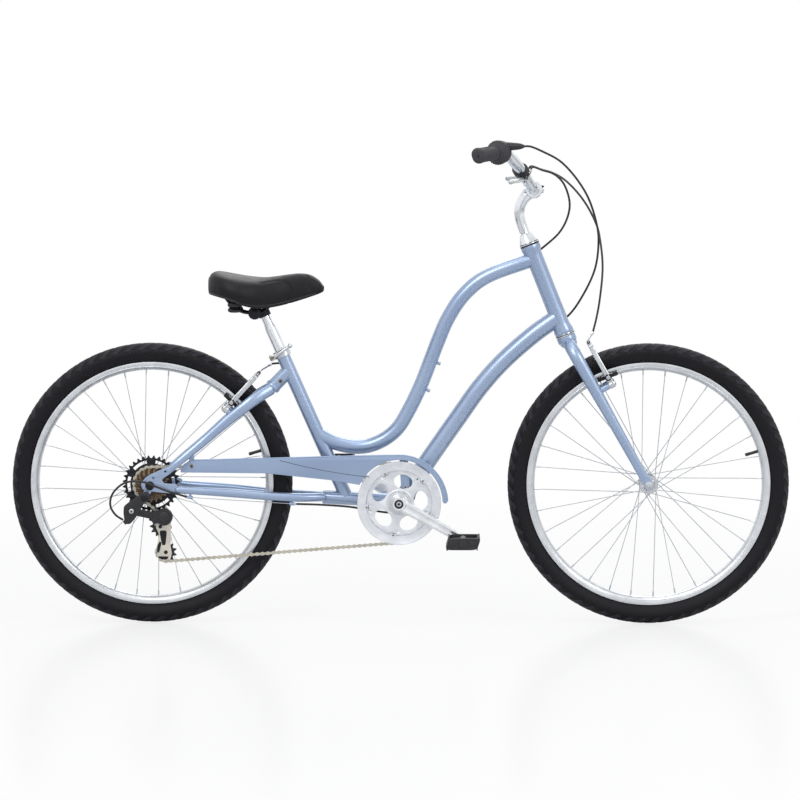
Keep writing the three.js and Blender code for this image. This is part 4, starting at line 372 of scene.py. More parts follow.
def spline(points, count, steps=16):
    """Evenly spaced points of a smooth centripetal curve through some points."""
    points = [Vector(p) for p in points]
    ends = [2 * points[0] - points[1], *points, 2 * points[-1] - points[-2]]
    fine = []
    for a, b, c, d in zip(ends, ends[1:], ends[2:], ends[3:]):
        t = [0.0]
        for p, q in ((a, b), (b, c), (c, d)):
            t.append(t[-1] + max((q - p).length, 1e-6) ** 0.5)
        for i in range(steps):
            u = t[1] + (t[2] - t[1]) * i / steps
            ab = a.lerp(b, u / t[1])
            bc = b.lerp(c, (u - t[1]) / (t[2] - t[1]))
            cd = c.lerp(d, (u - t[2]) / (t[3] - t[2]))
            left = ab.lerp(bc, u / t[2])
            right = bc.lerp(cd, (u - t[1]) / (t[3] - t[1]))
            fine.append(left.lerp(right, (u - t[1]) / (t[2] - t[1])))
    fine.append(points[-1])
    walked = lengths_along(fine)
    even, i = [], 0
    for n in range(count + 1):
        goal = walked[-1] * n / count
        while i < len(fine) - 2 and walked[i + 1] < goal:
            i += 1
        even.append(fine[i].lerp(fine[i + 1], (goal - walked[i]) / (walked[i + 1] - walked[i])))
    return even


def picked(values, share):
    """A value between those of a list, at a share of its length."""
    spot = share * (len(values) - 1)
    low = min(int(spot), len(values) - 2)
    return values[low] + (values[low + 1] - values[low]) * (spot - low)


def tube(points, radius, finish, count=60, fineness=5, radii=None):
    """A round tube along a smooth curve, whose thickness can change by a list of shares."""
    select_only()
    route = spline(points, count)
    curve = bpy.data.curves.new("tube", "CURVE")
    curve.dimensions = "3D"
    curve.bevel_depth = radius
    curve.bevel_resolution = fineness
    curve.use_fill_caps = True
    line = curve.splines.new("POLY")
    line.points.add(len(route) - 1)
    for i, place in enumerate(route):
        line.points[i].co = (*place, 1)
        if radii:
            line.points[i].radius = picked(radii, i / (len(route) - 1))
    piece = bpy.data.objects.new("tube", curve)
    bpy.context.scene.collection.objects.link(piece)
    select_only(piece)
    bpy.ops.object.convert(target="MESH")
    piece = bpy.context.object
    edited(piece)
    bpy.ops.mesh.remove_doubles(threshold=0.001)
    return finished(piece, finish)


def plate(outline, low, high, finish, holes=(), soften=0.3, sections=1):
    """A flat plate in the XZ plane between two values of y, with holes and rounded edges."""
    select_only()
    curve = bpy.data.curves.new("plate", "CURVE")
    curve.dimensions = "2D"
    curve.fill_mode = "BOTH"
    curve.extrude = (high - low) / 2 - soften
    curve.bevel_depth = soften
    curve.bevel_resolution = sections
    curve.offset = -soften
    for loop in (outline, *holes):
        line = curve.splines.new("POLY")
        line.use_cyclic_u = True
        line.points.add(len(loop) - 1)
        for i, (x, z) in enumerate(loop):
            line.points[i].co = (x, z, 0, 1)
    piece = bpy.data.objects.new("plate", curve)
    bpy.context.scene.collection.objects.link(piece)
    piece.matrix_world = Matrix.Translation((0, (low + high) / 2, 0)) @ Matrix.Rotation(math.pi / 2, 4, "X")
    select_only(piece)
    bpy.ops.object.convert(target="MESH")
    piece = bpy.context.object
    bpy.ops.object.transform_apply(location=True, rotation=True, scale=True)
    edited(piece)
    bpy.ops.mesh.remove_doubles(threshold=0.002)
    return finished(piece, finish, angle=30)


def box(low, high, finish, soften=0.6):
    """A block between two corners, with its edges rounded."""
    select_only()
    low, high = Vector(low), Vector(high)
    bpy.ops.mesh.primitive_cube_add(size=1, location=(low + high) / 2)
    piece = bpy.context.object
    piece.scale = high - low
    bpy.ops.object.transform_apply(location=True, rotation=True, scale=True)
    return finished(piece, finish, soften)


def lofted(rings, finish, loop=False, angle=50):
    """A skin over rings of points, closed by a cap at each end or into a loop."""
    mesh = bpy.data.meshes.new("loft")
    shape = bmesh.new()
    rows = [[shape.verts.new(point) for point in ring] for ring in rings]
    pairs = list(zip(rows, rows[1:] + rows[:1] if loop else rows[1:]))
    for row, after in pairs:
        for i in range(len(row)):
            j = (i + 1) % len(row)
            shape.faces.new((row[i], row[j], after[j], after[i]))
    if not loop:
        shape.faces.new(list(reversed(rows[0])))
        shape.faces.new(rows[-1])
    bmesh.ops.recalc_face_normals(shape, faces=shape.faces)
    shape.to_mesh(mesh)
    shape.free()
    piece = bpy.data.objects.new("loft", mesh)
    bpy.context.scene.collection.objects.link(piece)
    select_only(piece)
    return finished(piece, finish, angle=angle)


def prism(origin, along, across, steps, section, finish, soften=0.0):
    """A block: a section, of places to the left and across, repeated at steps along a way."""
    rings = [[origin + along * step + Y * y + across * o for y, o in section] for step in steps]
    return finished(lofted(rings, finish), finish, soften)


def round_section(sides, power=1):
    """Points round a unit circle, which a power below 1 makes squarer."""
    angles = [2 * math.pi * i / sides for i in range(sides)]
    pairs = [(math.cos(a), math.sin(a)) for a in angles]
    return [tuple(math.copysign(abs(part) ** power, part) for part in pair) for pair in pairs]


def oval(points, widths, depths, finish, side=Y, count=28, section=round_section(28)):
    """A tube of changing oval section; its width leans to a side vector."""
    route = spline(points, count)
    marks = [min(range(len(route)), key=lambda i: (route[i] - Vector(p)).length) for p in points]
    rings = []
    for n, centre in enumerate(route):
        ahead = (route[min(n + 1, count)] - route[max(n - 1, 0)]).normalized()
        across = (side - ahead * side.dot(ahead)).normalized()
        up = ahead.cross(across)
        k = max(i for i in range(len(marks)) if marks[i] <= n or i == 0)
        k = min(k, len(marks) - 2)
        t = (k + (n - marks[k]) / max(1, marks[k + 1] - marks[k])) / (len(marks) - 1)
        wide, deep = picked(widths, t), picked(depths, t)
        rings.append([centre + across * wide * u + up * deep * v for u, v in section])
    return lofted(rings, finish)


def ball(place, radius, finish, squash=(1, 1, 1)):
    select_only()
    bpy.ops.mesh.primitive_uv_sphere_add(segments=20, ring_count=12, radius=radius, location=place)
    piece = bpy.context.object
    piece.scale = squash
    bpy.ops.object.transform_apply(location=True, rotation=True, scale=True)
    return finished(piece, finish)


def polar(radius, angle, centre=(0, 0)):
    """A point of the XZ plane, so far from a centre in a direction."""
    return centre[0] + radius * math.cos(angle), centre[-1] + radius * math.sin(angle)


def arc(centre, radius, start, end, steps):
    return [polar(radius, start + (end - start) * i / steps, centre) for i in range(steps + 1)]


def circle(centre, radius, sides):
    return [polar(radius, 2 * math.pi * i / sides, centre) for i in range(sides)]


def bolt(place, direction, radius, finish, depth):
    """A socket head screw: a rounded head, with a thin black hexagon on it painted as the shade of its six
    sided recess.
    """
    direction = Vector(direction).normalized()
    head = turned([(radius, 0), (radius, depth * 0.7), (radius * 0.85, depth)], finish, place, direction, 24)
    # painted shade: a thin black hexagon on the head stands for the recess
    recess_shade = [(radius * 0.5, 0.0), (radius * 0.5, depth * 0.08)]
    return [head, turned(recess_shade, BLACK_STEEL, Vector(place) + direction * depth, direction, 6)]


def nut(place, direction, radius, finish, height):
    """A six sided nut on its washer, with the end of its axle."""
    direction = Vector(direction).normalized()
    washer, core = radius * 1.15, radius * 0.45
    return [
        turned([(washer, 0), (washer, 1.4)], finish, place, direction, 32, soften=0.3),
        turned([(radius, 1.4), (radius, height)], finish, place, direction, 6, soften=0.7),
        turned([(core, height), (core, height + 2.5)], finish, place, direction, 20, soften=0.4),
    ]


def together(shapes):
    """Joins shapes into one mesh."""
    select_only(*shapes)
    if len(shapes) > 1:
        bpy.ops.object.join()
    return bpy.context.object


def piece(name, body, slot, shapes, *nodes):
    """A finished piece of the bicycle: joined, in metres, riding on its body."""
    whole = together(shapes)
    whole.matrix_world = Matrix.Scale(MM, 4) @ whole.matrix_world
    bpy.ops.object.transform_apply(location=True, rotation=True, scale=True)
    whole.name = name
    whole.data.name = name
    if body:
        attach(whole, body)
    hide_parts(*nodes)
    return whole


def copy_of(shape, matrix):
    """A copy of a shape, with its own mesh, moved by a matrix."""
    select_only(shape)
    bpy.ops.object.duplicate(linked=False)
    twin = bpy.context.object
    twin.matrix_world = matrix @ twin.matrix_world
    bpy.ops.object.transform_apply(location=True, rotation=True, scale=True)
    return twin


def mirror_of(shape):
    """A copy of a shape on the other side of the bicycle."""
    twin = copy_of(shape, Matrix.Scale(-1, 4, Y))
    edited(twin)
    bpy.ops.mesh.normals_make_consistent(inside=False)
    select_only(twin)
    return twin


def moved(shape, matrix):
    shape.matrix_world = matrix @ shape.matrix_world
    return shape


def shifted(shapes, place):
    return [moved(shape, Matrix.Translation(place)) for shape in shapes]


def both_sides(name, body, slot, shapes, right_body=None, more_right=()):
    """One piece for each side of the bicycle, from shapes made for the left."""
    left = together(list(shapes))
    right = mirror_of(left)
    piece(name + "_dressed_right", right_body or body, slot, [right, *more_right], name + "_right")
    piece(name + "_dressed_left", body, slot, [left], name + "_left")


# Frame: head tube, the low top tube, down tube, seat tube and bottom bracket
TOP_RADIUS, DOWN_RADIUS, SEAT_RADIUS, STUB_RADIUS = 17, 21, 15.9, 16.5
HEAD_ROWS = both_ends([(17.6, 0), (23, 0), (23, 9), (20.3, 20), (20, 26)], HEAD_LENGTH)
head = turned(HEAD_ROWS, PAINT, STEER_FOOT, STEER_UP, 64, ring=True, soften=0.8)
piece("head_tube_dressed", "frame", "frame_paint", [head], "head_tube")

TOP_ROUTE = [
    at(0.2712, 0.4532), at(0.169, 0.4142), at(0.1267, 0.3786), at(0.0955, 0.3314), at(0.0762, 0.287),
    at(0.042, 0.1983), at(0.0178, 0.1479), at(-0.0045, 0.1116), at(-0.0306, 0.0894), at(-0.0609, 0.0762),
    at(-0.0871, 0.0732), at(-0.1113, 0.0761), at(-0.1355, 0.0833), at(-0.1631, 0.097),
]
top = [tube(TOP_ROUTE, TOP_RADIUS, PAINT, 120, 8)]
for x, z, away in ((93.16, 611.37, (0.9375, 0, -0.348)), (68.28, 547.83, (0.9165, 0, -0.4001))):
    foot = Vector((x, 0, z)) - Vector(away) * 7
    top.append(turned([(4, 0), (4, 7)], PAINT, foot, away, 24, soften=0.5))
    top += bolt(Vector((x, 0, z)), away, 4.4, STEEL, 2.2)
piece("top_tube_dressed", "frame", "frame_paint", top, "top_tube")

DOWN_ROUTE = [
    at(0.3136, 0.3334), at(0.2679, 0.3002), at(0.2074, 0.2467), at(0.1609, 0.1943), at(0.1206, 0.1378),
    at(0.0853, 0.0874), at(0.052, 0.039), BOTTOM + Vector((8, 0, 6)),
]
piece("down_tube_dressed", "frame", "frame_paint", [tube(DOWN_ROUTE, DOWN_RADIUS, PAINT, 90, 8)], "down_tube")

seat_foot = SEAT_TOP - SEAT_UP * SEAT_LENGTH
stub_start, stub_end = at(-0.224, 0.2275), at(-0.2578, 0.193)
stub_way = (stub_end - stub_start).normalized()
stub_collar = [(16.5, -2), (18, 0), (18, 6), (16.8, 8), (15, 9)]
seat_parts = [
    turned([(SEAT_RADIUS, 0), (SEAT_RADIUS, SEAT_LENGTH)], PAINT, seat_foot, SEAT_UP, 64),
    rod(stub_start, stub_end, STUB_RADIUS, PAINT, 48),
    turned(stub_collar, PAINT, stub_end - stub_way * 7, stub_way, 48),
    *bolt(Vector((-279.6, -15.6, 571)), -Y, 4.6, BRONZE, 2.6),
]
piece("seat_tube_dressed", "frame", "frame_paint", seat_parts, "seat_tube")

SHELL_ROWS = both_ends([(16.9, -34), (20, -34)])
shell = [
    turned(SHELL_ROWS, PAINT, BOTTOM, Y, 64, ring=True, soften=0.8),
    rod(BOTTOM - X * 12, at(-0.1562, -0.0283), 16, PAINT, 48, soften=2),
]
piece("bottom_shell_dressed", "frame", "frame_paint", shell, "bottom_bracket_shell")

# Stays, with their dropouts, for the left side and mirrored
DROPOUT_MIDDLE, DROPOUT_SIZE = 70.5, 66
DROPOUT_SHARES = [
    (0.623, 0.676), (0.794, 0.472), (0.42, 0.22), (0.5, 0.08), (0.97, 0.06), (1, -0.26), (0.71, -0.27),
    (0.33, -0.24), (0.1, -0.21), (-0.1, -0.21), (-0.27, -0.12), (-0.32, 0.07), (-0.12, 0.33),
]


def on_dropout(x, z, y=0):
    """A place on the dropout, given as shares of its size from the rear axle."""
    return REAR + Vector((x * DROPOUT_SIZE, y, z * DROPOUT_SIZE))


def rounded_outline(points, steps=4):
    """An outline whose corners are drawn through by a smooth closed curve."""
    count = len(points)
    out = []
    for i in range(count):
        a, b, c = (Vector(points[(i + k - 1) % count]) for k in range(3))
        first, last = b.lerp(a, 0.25), b.lerp(c, 0.25)
        for s in range(steps + 1):
            t = s / steps
            spot = first.lerp(b, t).lerp(b.lerp(last, t), t)
            out.append((spot.x, spot.y))
    return out


dropout_outline = rounded_outline([tuple(on_dropout(x, z).xz) for x, z in DROPOUT_SHARES])
dropout_holes = [circle(on_dropout(0.13, 0.27), 2.6, 20), circle(on_dropout(0.55, 0.5), 2.6, 20)]


def stay(rows, depth, width, ends=()):
    """A stay through rows of place, share of the dropout's distance, depth and width."""
    points = [at(x, z, share * DROPOUT_MIDDLE) for x, z, share, _, _ in rows] + [p for p, _, _ in ends]
    depths = [row[3] * depth for row in rows] + [deep * depth for _, deep, _ in ends]
    widths = [row[4] * width for row in rows] + [wide * width for _, _, wide in ends]
    return oval(points, widths, depths, PAINT)


CHAINSTAY_ROWS = [
    (-0.4438, -0.0086, 1, 0.8, 0.8), (-0.3433, -0.0155, 0.8, 1, 1), (-0.2575, -0.0232, 0.63, 1, 1),
    (-0.206, -0.0262, 0.54, 1, 1), (-0.176, -0.027, 0.385, 1, 1), (-0.1545, -0.0275, 0.19, 1, 1),
]
SEATSTAY_ROWS = [
    (-0.2601, 0.1912, 0.185, 1, 1), (-0.279, 0.1803, 0.4, 1, 1), (-0.3004, 0.1648, 0.57, 0.92, 1),
    (-0.3447, 0.13, 0.655, 0.85, 1), (-0.3914, 0.0893, 0.77, 0.72, 0.9),
]
chainstay = [
    stay(CHAINSTAY_ROWS, 10.2, 10.2),
    plate(dropout_outline, 67.5, 73.5, PAINT, dropout_holes, 0.8, 2),
    ball(at(-0.4438, -0.0086, DROPOUT_MIDDLE), 8.2, PAINT),
]
STOP_A, STOP_B = at(-0.217, -0.0386, -41.6), at(-0.419, -0.024, -66.3)
STOP_WAY = (STOP_A - STOP_B).normalized()
STOP_ROWS = both_ends([(2.6, -5.5), (4, -5.5)])
right_extras = []
for place in (STOP_A, STOP_B):
    right_extras.append(turned(STOP_ROWS, PAINT, place, STOP_WAY, 24, True, 0.5))
    right_extras.append(box(place + Vector((-3, -1.6, 2)), place + Vector((3, 1.6, 8)), PAINT, 0.5))
hanger_bolt = on_dropout(-0.159, -0.394)
strap = [
    (REAR.x - 9, REAR.z), (hanger_bolt.x - 9, hanger_bolt.z), (hanger_bolt.x - 5, hanger_bolt.z - 8),
    (hanger_bolt.x + 5, hanger_bolt.z - 8), (hanger_bolt.x + 9, hanger_bolt.z), (REAR.x + 9, REAR.z),
]
right_extras.append(plate(rounded_outline(strap), -73.4, -67.6, PAINT, (), 0.8))
both_sides("chainstay", "frame", "frame_paint", chainstay, more_right=right_extras)

edge_a, edge_b = on_dropout(0.623, 0.676, DROPOUT_MIDDLE), on_dropout(0.794, 0.472, DROPOUT_MIDDLE)
edge_out = (edge_b - edge_a).normalized().cross(Y).normalized()
edge_out = edge_out if edge_out.x > 0 else -edge_out
edge_middle = edge_a.lerp(edge_b, 0.5)
PIVOT_SIDE = 42
REAR_PIVOT = at(-0.3493, 0.1523)
REAR_ARM_UP = tilted(47.2)
REAR_ARM_OUT = REAR_ARM_UP.cross(Y)
STAY_ENDS = [(edge_middle + edge_out * 22, 0.6, 0.8), (edge_middle - edge_out * 4, 0.55, 0.8)]


def brake_boss(pivot, out, reach):
    """The boss that carries a brake arm, with the bolt in its end."""
    centre = pivot + Y * PIVOT_SIDE
    return [
        turned([(9, -reach), (7.5, -reach + 8), (7.5, -6.8)], PAINT, centre, out, 32, soften=0.5),
        *bolt(centre + out * 6.2, out, 6, STEEL, 3.2),
    ]


seatstay = [stay(SEATSTAY_ROWS, 15, 8.5, STAY_ENDS), *brake_boss(REAR_PIVOT, REAR_ARM_OUT, 24)]
tab = at(-0.4172, 0.038)
guard_tab = [
    box((tab.x - 6, -52.1, tab.z - 6), (tab.x + 6, -49.5, tab.z + 38), PAINT, 0.8),
    box((tab.x - 6, -60, tab.z + 26), (tab.x + 6, -49.5, tab.z + 38), PAINT, 0.8),
]
both_sides("seatstay", "frame", "frame_paint", seatstay, more_right=guard_tab)


# Headset, its lower cup on the frame and its tall chromed cone on the steering
def headset_ring(rows, finish, place, soften=0.0):
    return turned(rows, finish, place, STEER_UP, 64, True, soften)


lower = [
    headset_ring([(15, -6), (22.6, -6), (23, -4), (23, -0.3), (15, -0.3)], CHROME, STEER_FOOT, 0.4),
    headset_ring([(23.1, -3.6), (23.3, -3), (23.3, -2), (23.1, -1.4)], BLACK_STEEL, STEER_FOOT),
]
piece("headset_lower_dressed", "frame", "black_steel", lower, "headset_lower")
SEAL_ROWS = [(15, 0.3), (22.9, 0.3), (23.1, 1.2), (23.1, 2.6), (22.6, 3.2), (15, 3.2)]
CONE_ROWS = [(12.4, 7), (22, 7), (21.4, 9), (14.6, 27), (13.8, 29), (12.4, 29)]
upper = [
    headset_ring(SEAL_ROWS, BLACK_STEEL, HEAD_TOP),
    headset_ring([(15, 3.2), (22.4, 3.2), (22.7, 4.2), (22.4, 5.4), (15, 5.4)], CHROME, HEAD_TOP),
    headset_ring([(15, 5.4), (22.8, 5.4), (22.8, 7), (15, 7)], BLACK_STEEL, HEAD_TOP, 0.2),
    headset_ring(CONE_ROWS, CHROME, HEAD_TOP),
]
piece("headset_upper_dressed", "steering", "chrome", upper, "headset_upper")

# Fork, whose blades are rows of share down, share of the spread, depth and width
BLADE_TOP = STEER_FOOT - STEER_UP * 20
BLADE_END = FRONT + Vector((-11.5, 0, 18))
BLADE_LENGTH = (BLADE_TOP - BLADE_END).length
BLADE_SPREAD, BLADE_DEPTH, BLADE_WIDTH = 52.5, 15, 12
FRONT_ARM_UP = (BLADE_TOP - BLADE_END).normalized()
FRONT_ARM_OUT = -FRONT_ARM_UP.cross(Y)
FRONT_PIVOT = BLADE_TOP - FRONT_ARM_UP * 135 + FRONT_ARM_OUT * 41
BLADE_ROWS = [
    (0, 0.08, 0.9, 1), (0.03, 0.5, 1, 1), (0.095, 0.8, 1, 1), (0.22, 0.876, 1, 1), (0.6, 0.94, 0.8, 0.75),
    (1, 1, 0.68, 0.35),
]
blade_points, blade_depths, blade_widths = [], [], []
for down, spread, depth, width in BLADE_ROWS:
    blade_points.append(BLADE_TOP - FRONT_ARM_UP * BLADE_LENGTH * down + Y * spread * BLADE_SPREAD)
    blade_depths.append(depth * BLADE_DEPTH)
    blade_widths.append(width * BLADE_WIDTH)
fork_tip = [tuple((BLADE_END + FRONT_ARM_UP * 6 + FRONT_ARM_OUT * s).xz) for s in (-10.5, 10.5)]
lean = math.atan2(FRONT_ARM_OUT.z, FRONT_ARM_OUT.x)
fork_tip += arc(FRONT, 11.5, lean, lean - math.pi, 14)
fork_side = [
    oval(blade_points, blade_widths, blade_depths, PAINT, count=40),
    plate(fork_tip, 50, 55, PAINT, (), 0.8, 2),
    *brake_boss(FRONT_PIVOT, FRONT_ARM_OUT, 41),
]
fork_left = together(fork_side)
crown_rows = [(20, -2), (22.4, 0), (22.7, 3), (22.7, 13.2), (20, 13.7)]
crown = [
    turned(crown_rows, PAINT, BLADE_TOP, STEER_UP, 64, soften=0.4),
    rod(BLADE_TOP, HEAD_TOP + STEER_UP * 6, 14.3, STEEL, 32),
    ball(BLADE_TOP - STEER_UP * 2, 21, PAINT, (1, 1, 0.8)),
]
piece("fork_dressed", "steering", "frame_paint", [fork_left, mirror_of(fork_left), *crown], "fork")


# Wheels
def wheel_rows(rows):
    """A section given for the +Y side, run round to the other side."""
    return [(r, -y) for r, y in rows] + [(r, y) for r, y in reversed(rows)]


TYRE_SIDE = [
    (279.9, 11.6), (285.8, 12.2), (288, 15.5), (292, 19), (298, 22.4), (304, 24.4), (309, 25), (313.5, 24.2),
    (318, 21.8), (322.5, 17.6), (326.5, 12), (329.2, 6), (330, 0.8),
]
TYRE_CORE, TYRE_RIDGE = 300, 329


def treaded(rows):
    """The rings of a tyre, whose shoulders are cut into slanted blocks."""
    rings = []
    for r, y in rows:
        depth = min(1, max(0, (r - TREAD_FOOT) * 0.5)) if r < TYRE_RIDGE else 0.5
        inward = Vector((TYRE_CORE - r, -y)).normalized()
        ring = []
        for i in range(TREAD_BLOCKS * BLOCK_STEPS):
            angle = 2 * math.pi / TREAD_BLOCKS * (i / BLOCK_STEPS - TREAD_LEAN * r)
            pull = depth if i % BLOCK_STEPS in (8, 9) else 0
            x, z = polar(r + inward.x * pull, angle)
            ring.append((x, y + inward.y * pull, z))
        rings.append(ring)
    return rings


RIM_SIDE = [
    (266.6, 5), (267.2, 7.6), (269.4, 10.8), (272, 13.2), (273.6, 14.2), (274.3, 14.9), (275, 15),
    (275.6, 14.6), (276.2, 15), (283.6, 15), (285.3, 14.6), (285.5, 13.4), (284.8, 12.4), (280, 12.2),
    (279.5, 11),
]
SPOKES_A_SIDE, SPOKES_CROSSED = 16, 3
SPOKE_CIRCLE, SPOKE_SHIFT = 18, 1.35
NIPPLE_CIRCLE, NIPPLE_SIDE, NIPPLE_LENGTH = 267, 3, 12
VALVE_ANGLE = 0.29


def spokes(flange, turn):
    """The spokes of one flange, laced by turns from its inner and outer side, with their nipples."""
    made = []
    step = 2 * math.pi / SPOKES_A_SIDE
    for i in range(SPOKES_A_SIDE):
        way = 1 if i % 2 == 0 else -1
        near = polar(SPOKE_CIRCLE, i * step + turn)
        far = polar(NIPPLE_CIRCLE, (i + way * SPOKES_CROSSED) * step + turn)
        start = Vector((near[0], flange + way * SPOKE_SHIFT, near[1]))
        end = Vector((far[0], math.copysign(NIPPLE_SIDE, flange), far[1]))
        neck = end + (start - end).normalized() * NIPPLE_LENGTH
        made.append(rod(start, end, 0.95, STEEL, 6))
        made.append(rod(neck, end, 1.7, STEEL, 8))
        made.append(ball(start, 2.1, STEEL, (1, 0.6, 1)))
    return made


def hub(barrel, low, high):
    """A hub's barrel, with a flange and its spokes on each side."""
    shapes = [turned(barrel, ALLOY, (0, 0, 0), Y, 40, soften=0.4)]
    flange_rows = both_ends([(15, -2.4), (20.8, -2.4), (21.5, -1.6)])
    for flange in (low, high):
        shapes.append(turned(flange_rows, ALLOY, (0, flange, 0), Y, 48, ring=True))
    first = math.pi / 64
    half_step = math.pi / SPOKES_A_SIDE
    return shapes + spokes(low, first) + spokes(high, first + half_step)


def valve():
    """The valve through the rim, with its cap."""
    way = Vector((math.cos(VALVE_ANGLE), 0, math.sin(VALVE_ANGLE)))
    return [
        turned([(3.8, 0), (3.6, 20)], HOUSING, way * NIPPLE_CIRCLE, -way, 16, soften=0.3),
        turned([(3.9, 20), (3.9, 29), (3.2, 30)], HOUSING, way * NIPPLE_CIRCLE, -way, 12, soften=0.3),
    ]


for name, centre, rubber in (("front", FRONT, FRONT_RUBBER), ("rear", REAR, REAR_RUBBER)):
    tyre = lofted(treaded(wheel_rows(TYRE_SIDE)), rubber, loop=True, angle=35)
    piece(name + "_tyre_dressed", name + "_wheel", "tyre", shifted([tyre], centre), name + "_tyre")
    rim = [turned(wheel_rows(RIM_SIDE), RIM_ALLOY, (0, 0, 0), Y, 192, ring=True), *valve()]
    piece(name + "_rim_dressed", name + "_wheel", "alloy", shifted(rim, centre), name + "_rim")

FRONT_BARREL = both_ends([(9, -44), (11.5, -43), (12.6, -40), (13, -30), (11.8, -22)])
piece("front_hub_dressed", "front_wheel", "alloy", shifted(hub(FRONT_BARREL, -33, 33), FRONT), "front_hub")
REAR_BARREL = [
    (9, -55), (13.6, -54.5), (13.6, -44), (16.5, -43), (16.5, -24), (17, -21), (15, -12), (15, 26), (17, 35),
    (14, 38), (13.6, 57), (9, 58.5),
]
piece("rear_hub_dressed", "rear_wheel", "alloy", shifted(hub(REAR_BARREL, -21, 35), REAR), "rear_hub")

# Each axle: half the width between its ends, how thick those are, its body and its nuts' plating
AXLES = [
    ("front_axle", FRONT, 50, 5, "steering", STEEL),
    ("rear_axle", REAR, 67.5, 6, "frame", BLACK_STEEL),
]
AXLE_CONE = [(8.6, 0), (8.6, 5), (7, 8)]
for name, centre, half, thick, body, look in AXLES:
    reach = half + thick
    parts = [rod(centre - Y * (reach + 4), centre + Y * (reach + 4), 4.7, STEEL, 24)]
    for out in (-Y, Y):
        parts += nut(centre + out * (reach + 0.2), out, 9.2, look, 7.5)
        parts.append(turned(AXLE_CONE, STEEL, centre + out * (half - 0.4), -out, 24, soften=0.4))
    piece(name + "_dressed", body, "black_steel", parts, name)


# Drive train
CHAIN_PITCH = 12.7
CRANK_TURN = math.radians(28.5)
CHAINRING_TEETH, PULLEY_TEETH = 46, 11
CHAINRING_Y, PULLEY_Y = -47.5, -38
COG_TEETH = [32, 20, 18, 17, 16, 15, 14]
TOOTH = [
    (0, -3.7), (0.13, -3.3), (0.24, -1.6), (0.35, 1), (0.44, 2.9), (0.56, 2.9), (0.65, 1), (0.76, -1.6),
    (0.87, -3.3),
]


def pitch_radius(teeth):
    return CHAIN_PITCH / (2 * math.sin(math.pi / teeth))


def toothed(teeth, turn=0.0):
    """The outline of a chain wheel, tooth by tooth."""
    pitch = pitch_radius(teeth)
    return [
        polar(pitch + high, turn + 2 * math.pi * (i + share) / teeth)
        for i in range(teeth)
        for share, high in TOOTH
    ]


def arc_slot(inner, outer, middle, half):
    """A slot between two radii, round a middle angle."""
    first, last = middle - half, middle + half
    return arc((0, 0), outer, first, last, 6) + arc((0, 0), inner, last, first, 6)


def disc(radius, low, high, finish, sides=40):
    return turned([(radius, low), (radius, high)], finish, (0, 0, 0), Y, sides, soften=0.4)


long_slots = [arc_slot(49.5, 56.5, 2 * math.pi * i / 6, 0.33) for i in range(6)]
cassette = [plate(toothed(COG_TEETH[0]), -34, -32, BLACK_STEEL, long_slots, 0.3)]
for i, teeth in enumerate(COG_TEETH[1:], 1):
    y = -(33 + 5 * i)
    windows = [arc_slot(25, 29, 2 * math.pi * k / 8 + i, 0.22) for k in range(8)] if i < 3 else ()
    # every other cog is darker, as painted shade between the cogs
    look = SHADED_BRONZE if i % 2 == 0 else BRONZE
    cassette.append(plate(toothed(teeth, i * 0.13), y - 0.95, y + 0.95, look, windows, 0.25))
cassette += [disc(24, -60, -32, BRONZE), disc(22, -62.5, -59, BLACK_STEEL)]
cassette.append(disc(16, -64.6, -61, BLACK_STEEL, 24))
for k in range(4):
    notch = box((-2.5, -64.9, 16), (2.5, -61, 21), STEEL, 0.4)
    cassette.append(moved(notch, Matrix.Rotation(k * math.pi / 2 + 0.4, 4, "Y")))
piece("freewheel_dressed", "freewheel", "bronze_steel", shifted(cassette, REAR), "freewheel")


def belt(wheels):
    """The closed path of the chain round its wheels, in the order that it meets them."""
    count, points, runs = len(wheels), [], []
    for i, (place, radius, turn) in enumerate(wheels):
        after, wide, way = wheels[(i + 1) % count]
        gap = Vector((after.x - place.x, after.z - place.z))
        unit = gap.normalized()
        normal = Vector((-unit.y, unit.x))
        first, last = turn * radius, way * wide
        tilt = math.asin((last - first) / gap.length)
        side = normal * math.cos(tilt) - unit * math.sin(tilt)
        runs.append((place.xz + side * first, after.xz + side * last))
    for i, (place, radius, turn) in enumerate(wheels):
        arrive, leave = runs[i - 1][1], runs[i][0]
        start = math.atan2(arrive.y - place.z, arrive.x - place.x)
        sweep = math.atan2(leave.y - place.z, leave.x - place.x) - start
        sweep = -((-sweep) % (2 * math.pi)) if turn > 0 else sweep % (2 * math.pi)
        turned_by = arc(place, radius, start, start + sweep, 48)
        points += [Vector((x, place.y, z)) for x, z in turned_by]
    return points


GUIDE, TENSION = at(-0.4814, -0.085, PULLEY_Y), at(-0.4704, -0.1368, PULLEY_Y)
loop = belt([
    (at_side(REAR, PULLEY_Y), pitch_radius(COG_TEETH[1]), 1),
    (at_side(BOTTOM, CHAINRING_Y), pitch_radius(CHAINRING_TEETH), 1),
    (TENSION, pitch_radius(PULLEY_TEETH), 1),
    (GUIDE, pitch_radius(PULLEY_TEETH), -1),
])
walked = lengths_along([*loop, loop[0]])
links = 2 * round(walked[-1] / CHAIN_PITCH / 2)


def on_chain(share):
    """The place at a share of the chain's length."""
    goal = walked[-1] * (share % 1)
    i = max(k for k in range(len(loop)) if walked[k] <= goal)
    between = (goal - walked[i]) / max(1e-9, walked[i + 1] - walked[i])
    return loop[i].lerp(loop[(i + 1) % len(loop)], between)


def link_outline(high):
    """A side plate: a round end at each pin and a waist between them."""
    end = [polar(high, math.radians(d), (CHAIN_PITCH / 2, 0)) for d in (-100, -50, 0, 50, 100)]
    other_end = [(-x, z) for x, z in reversed(end)]
    return end + [(0, high * 0.5)] + other_end + [(0, -high * 0.5)]


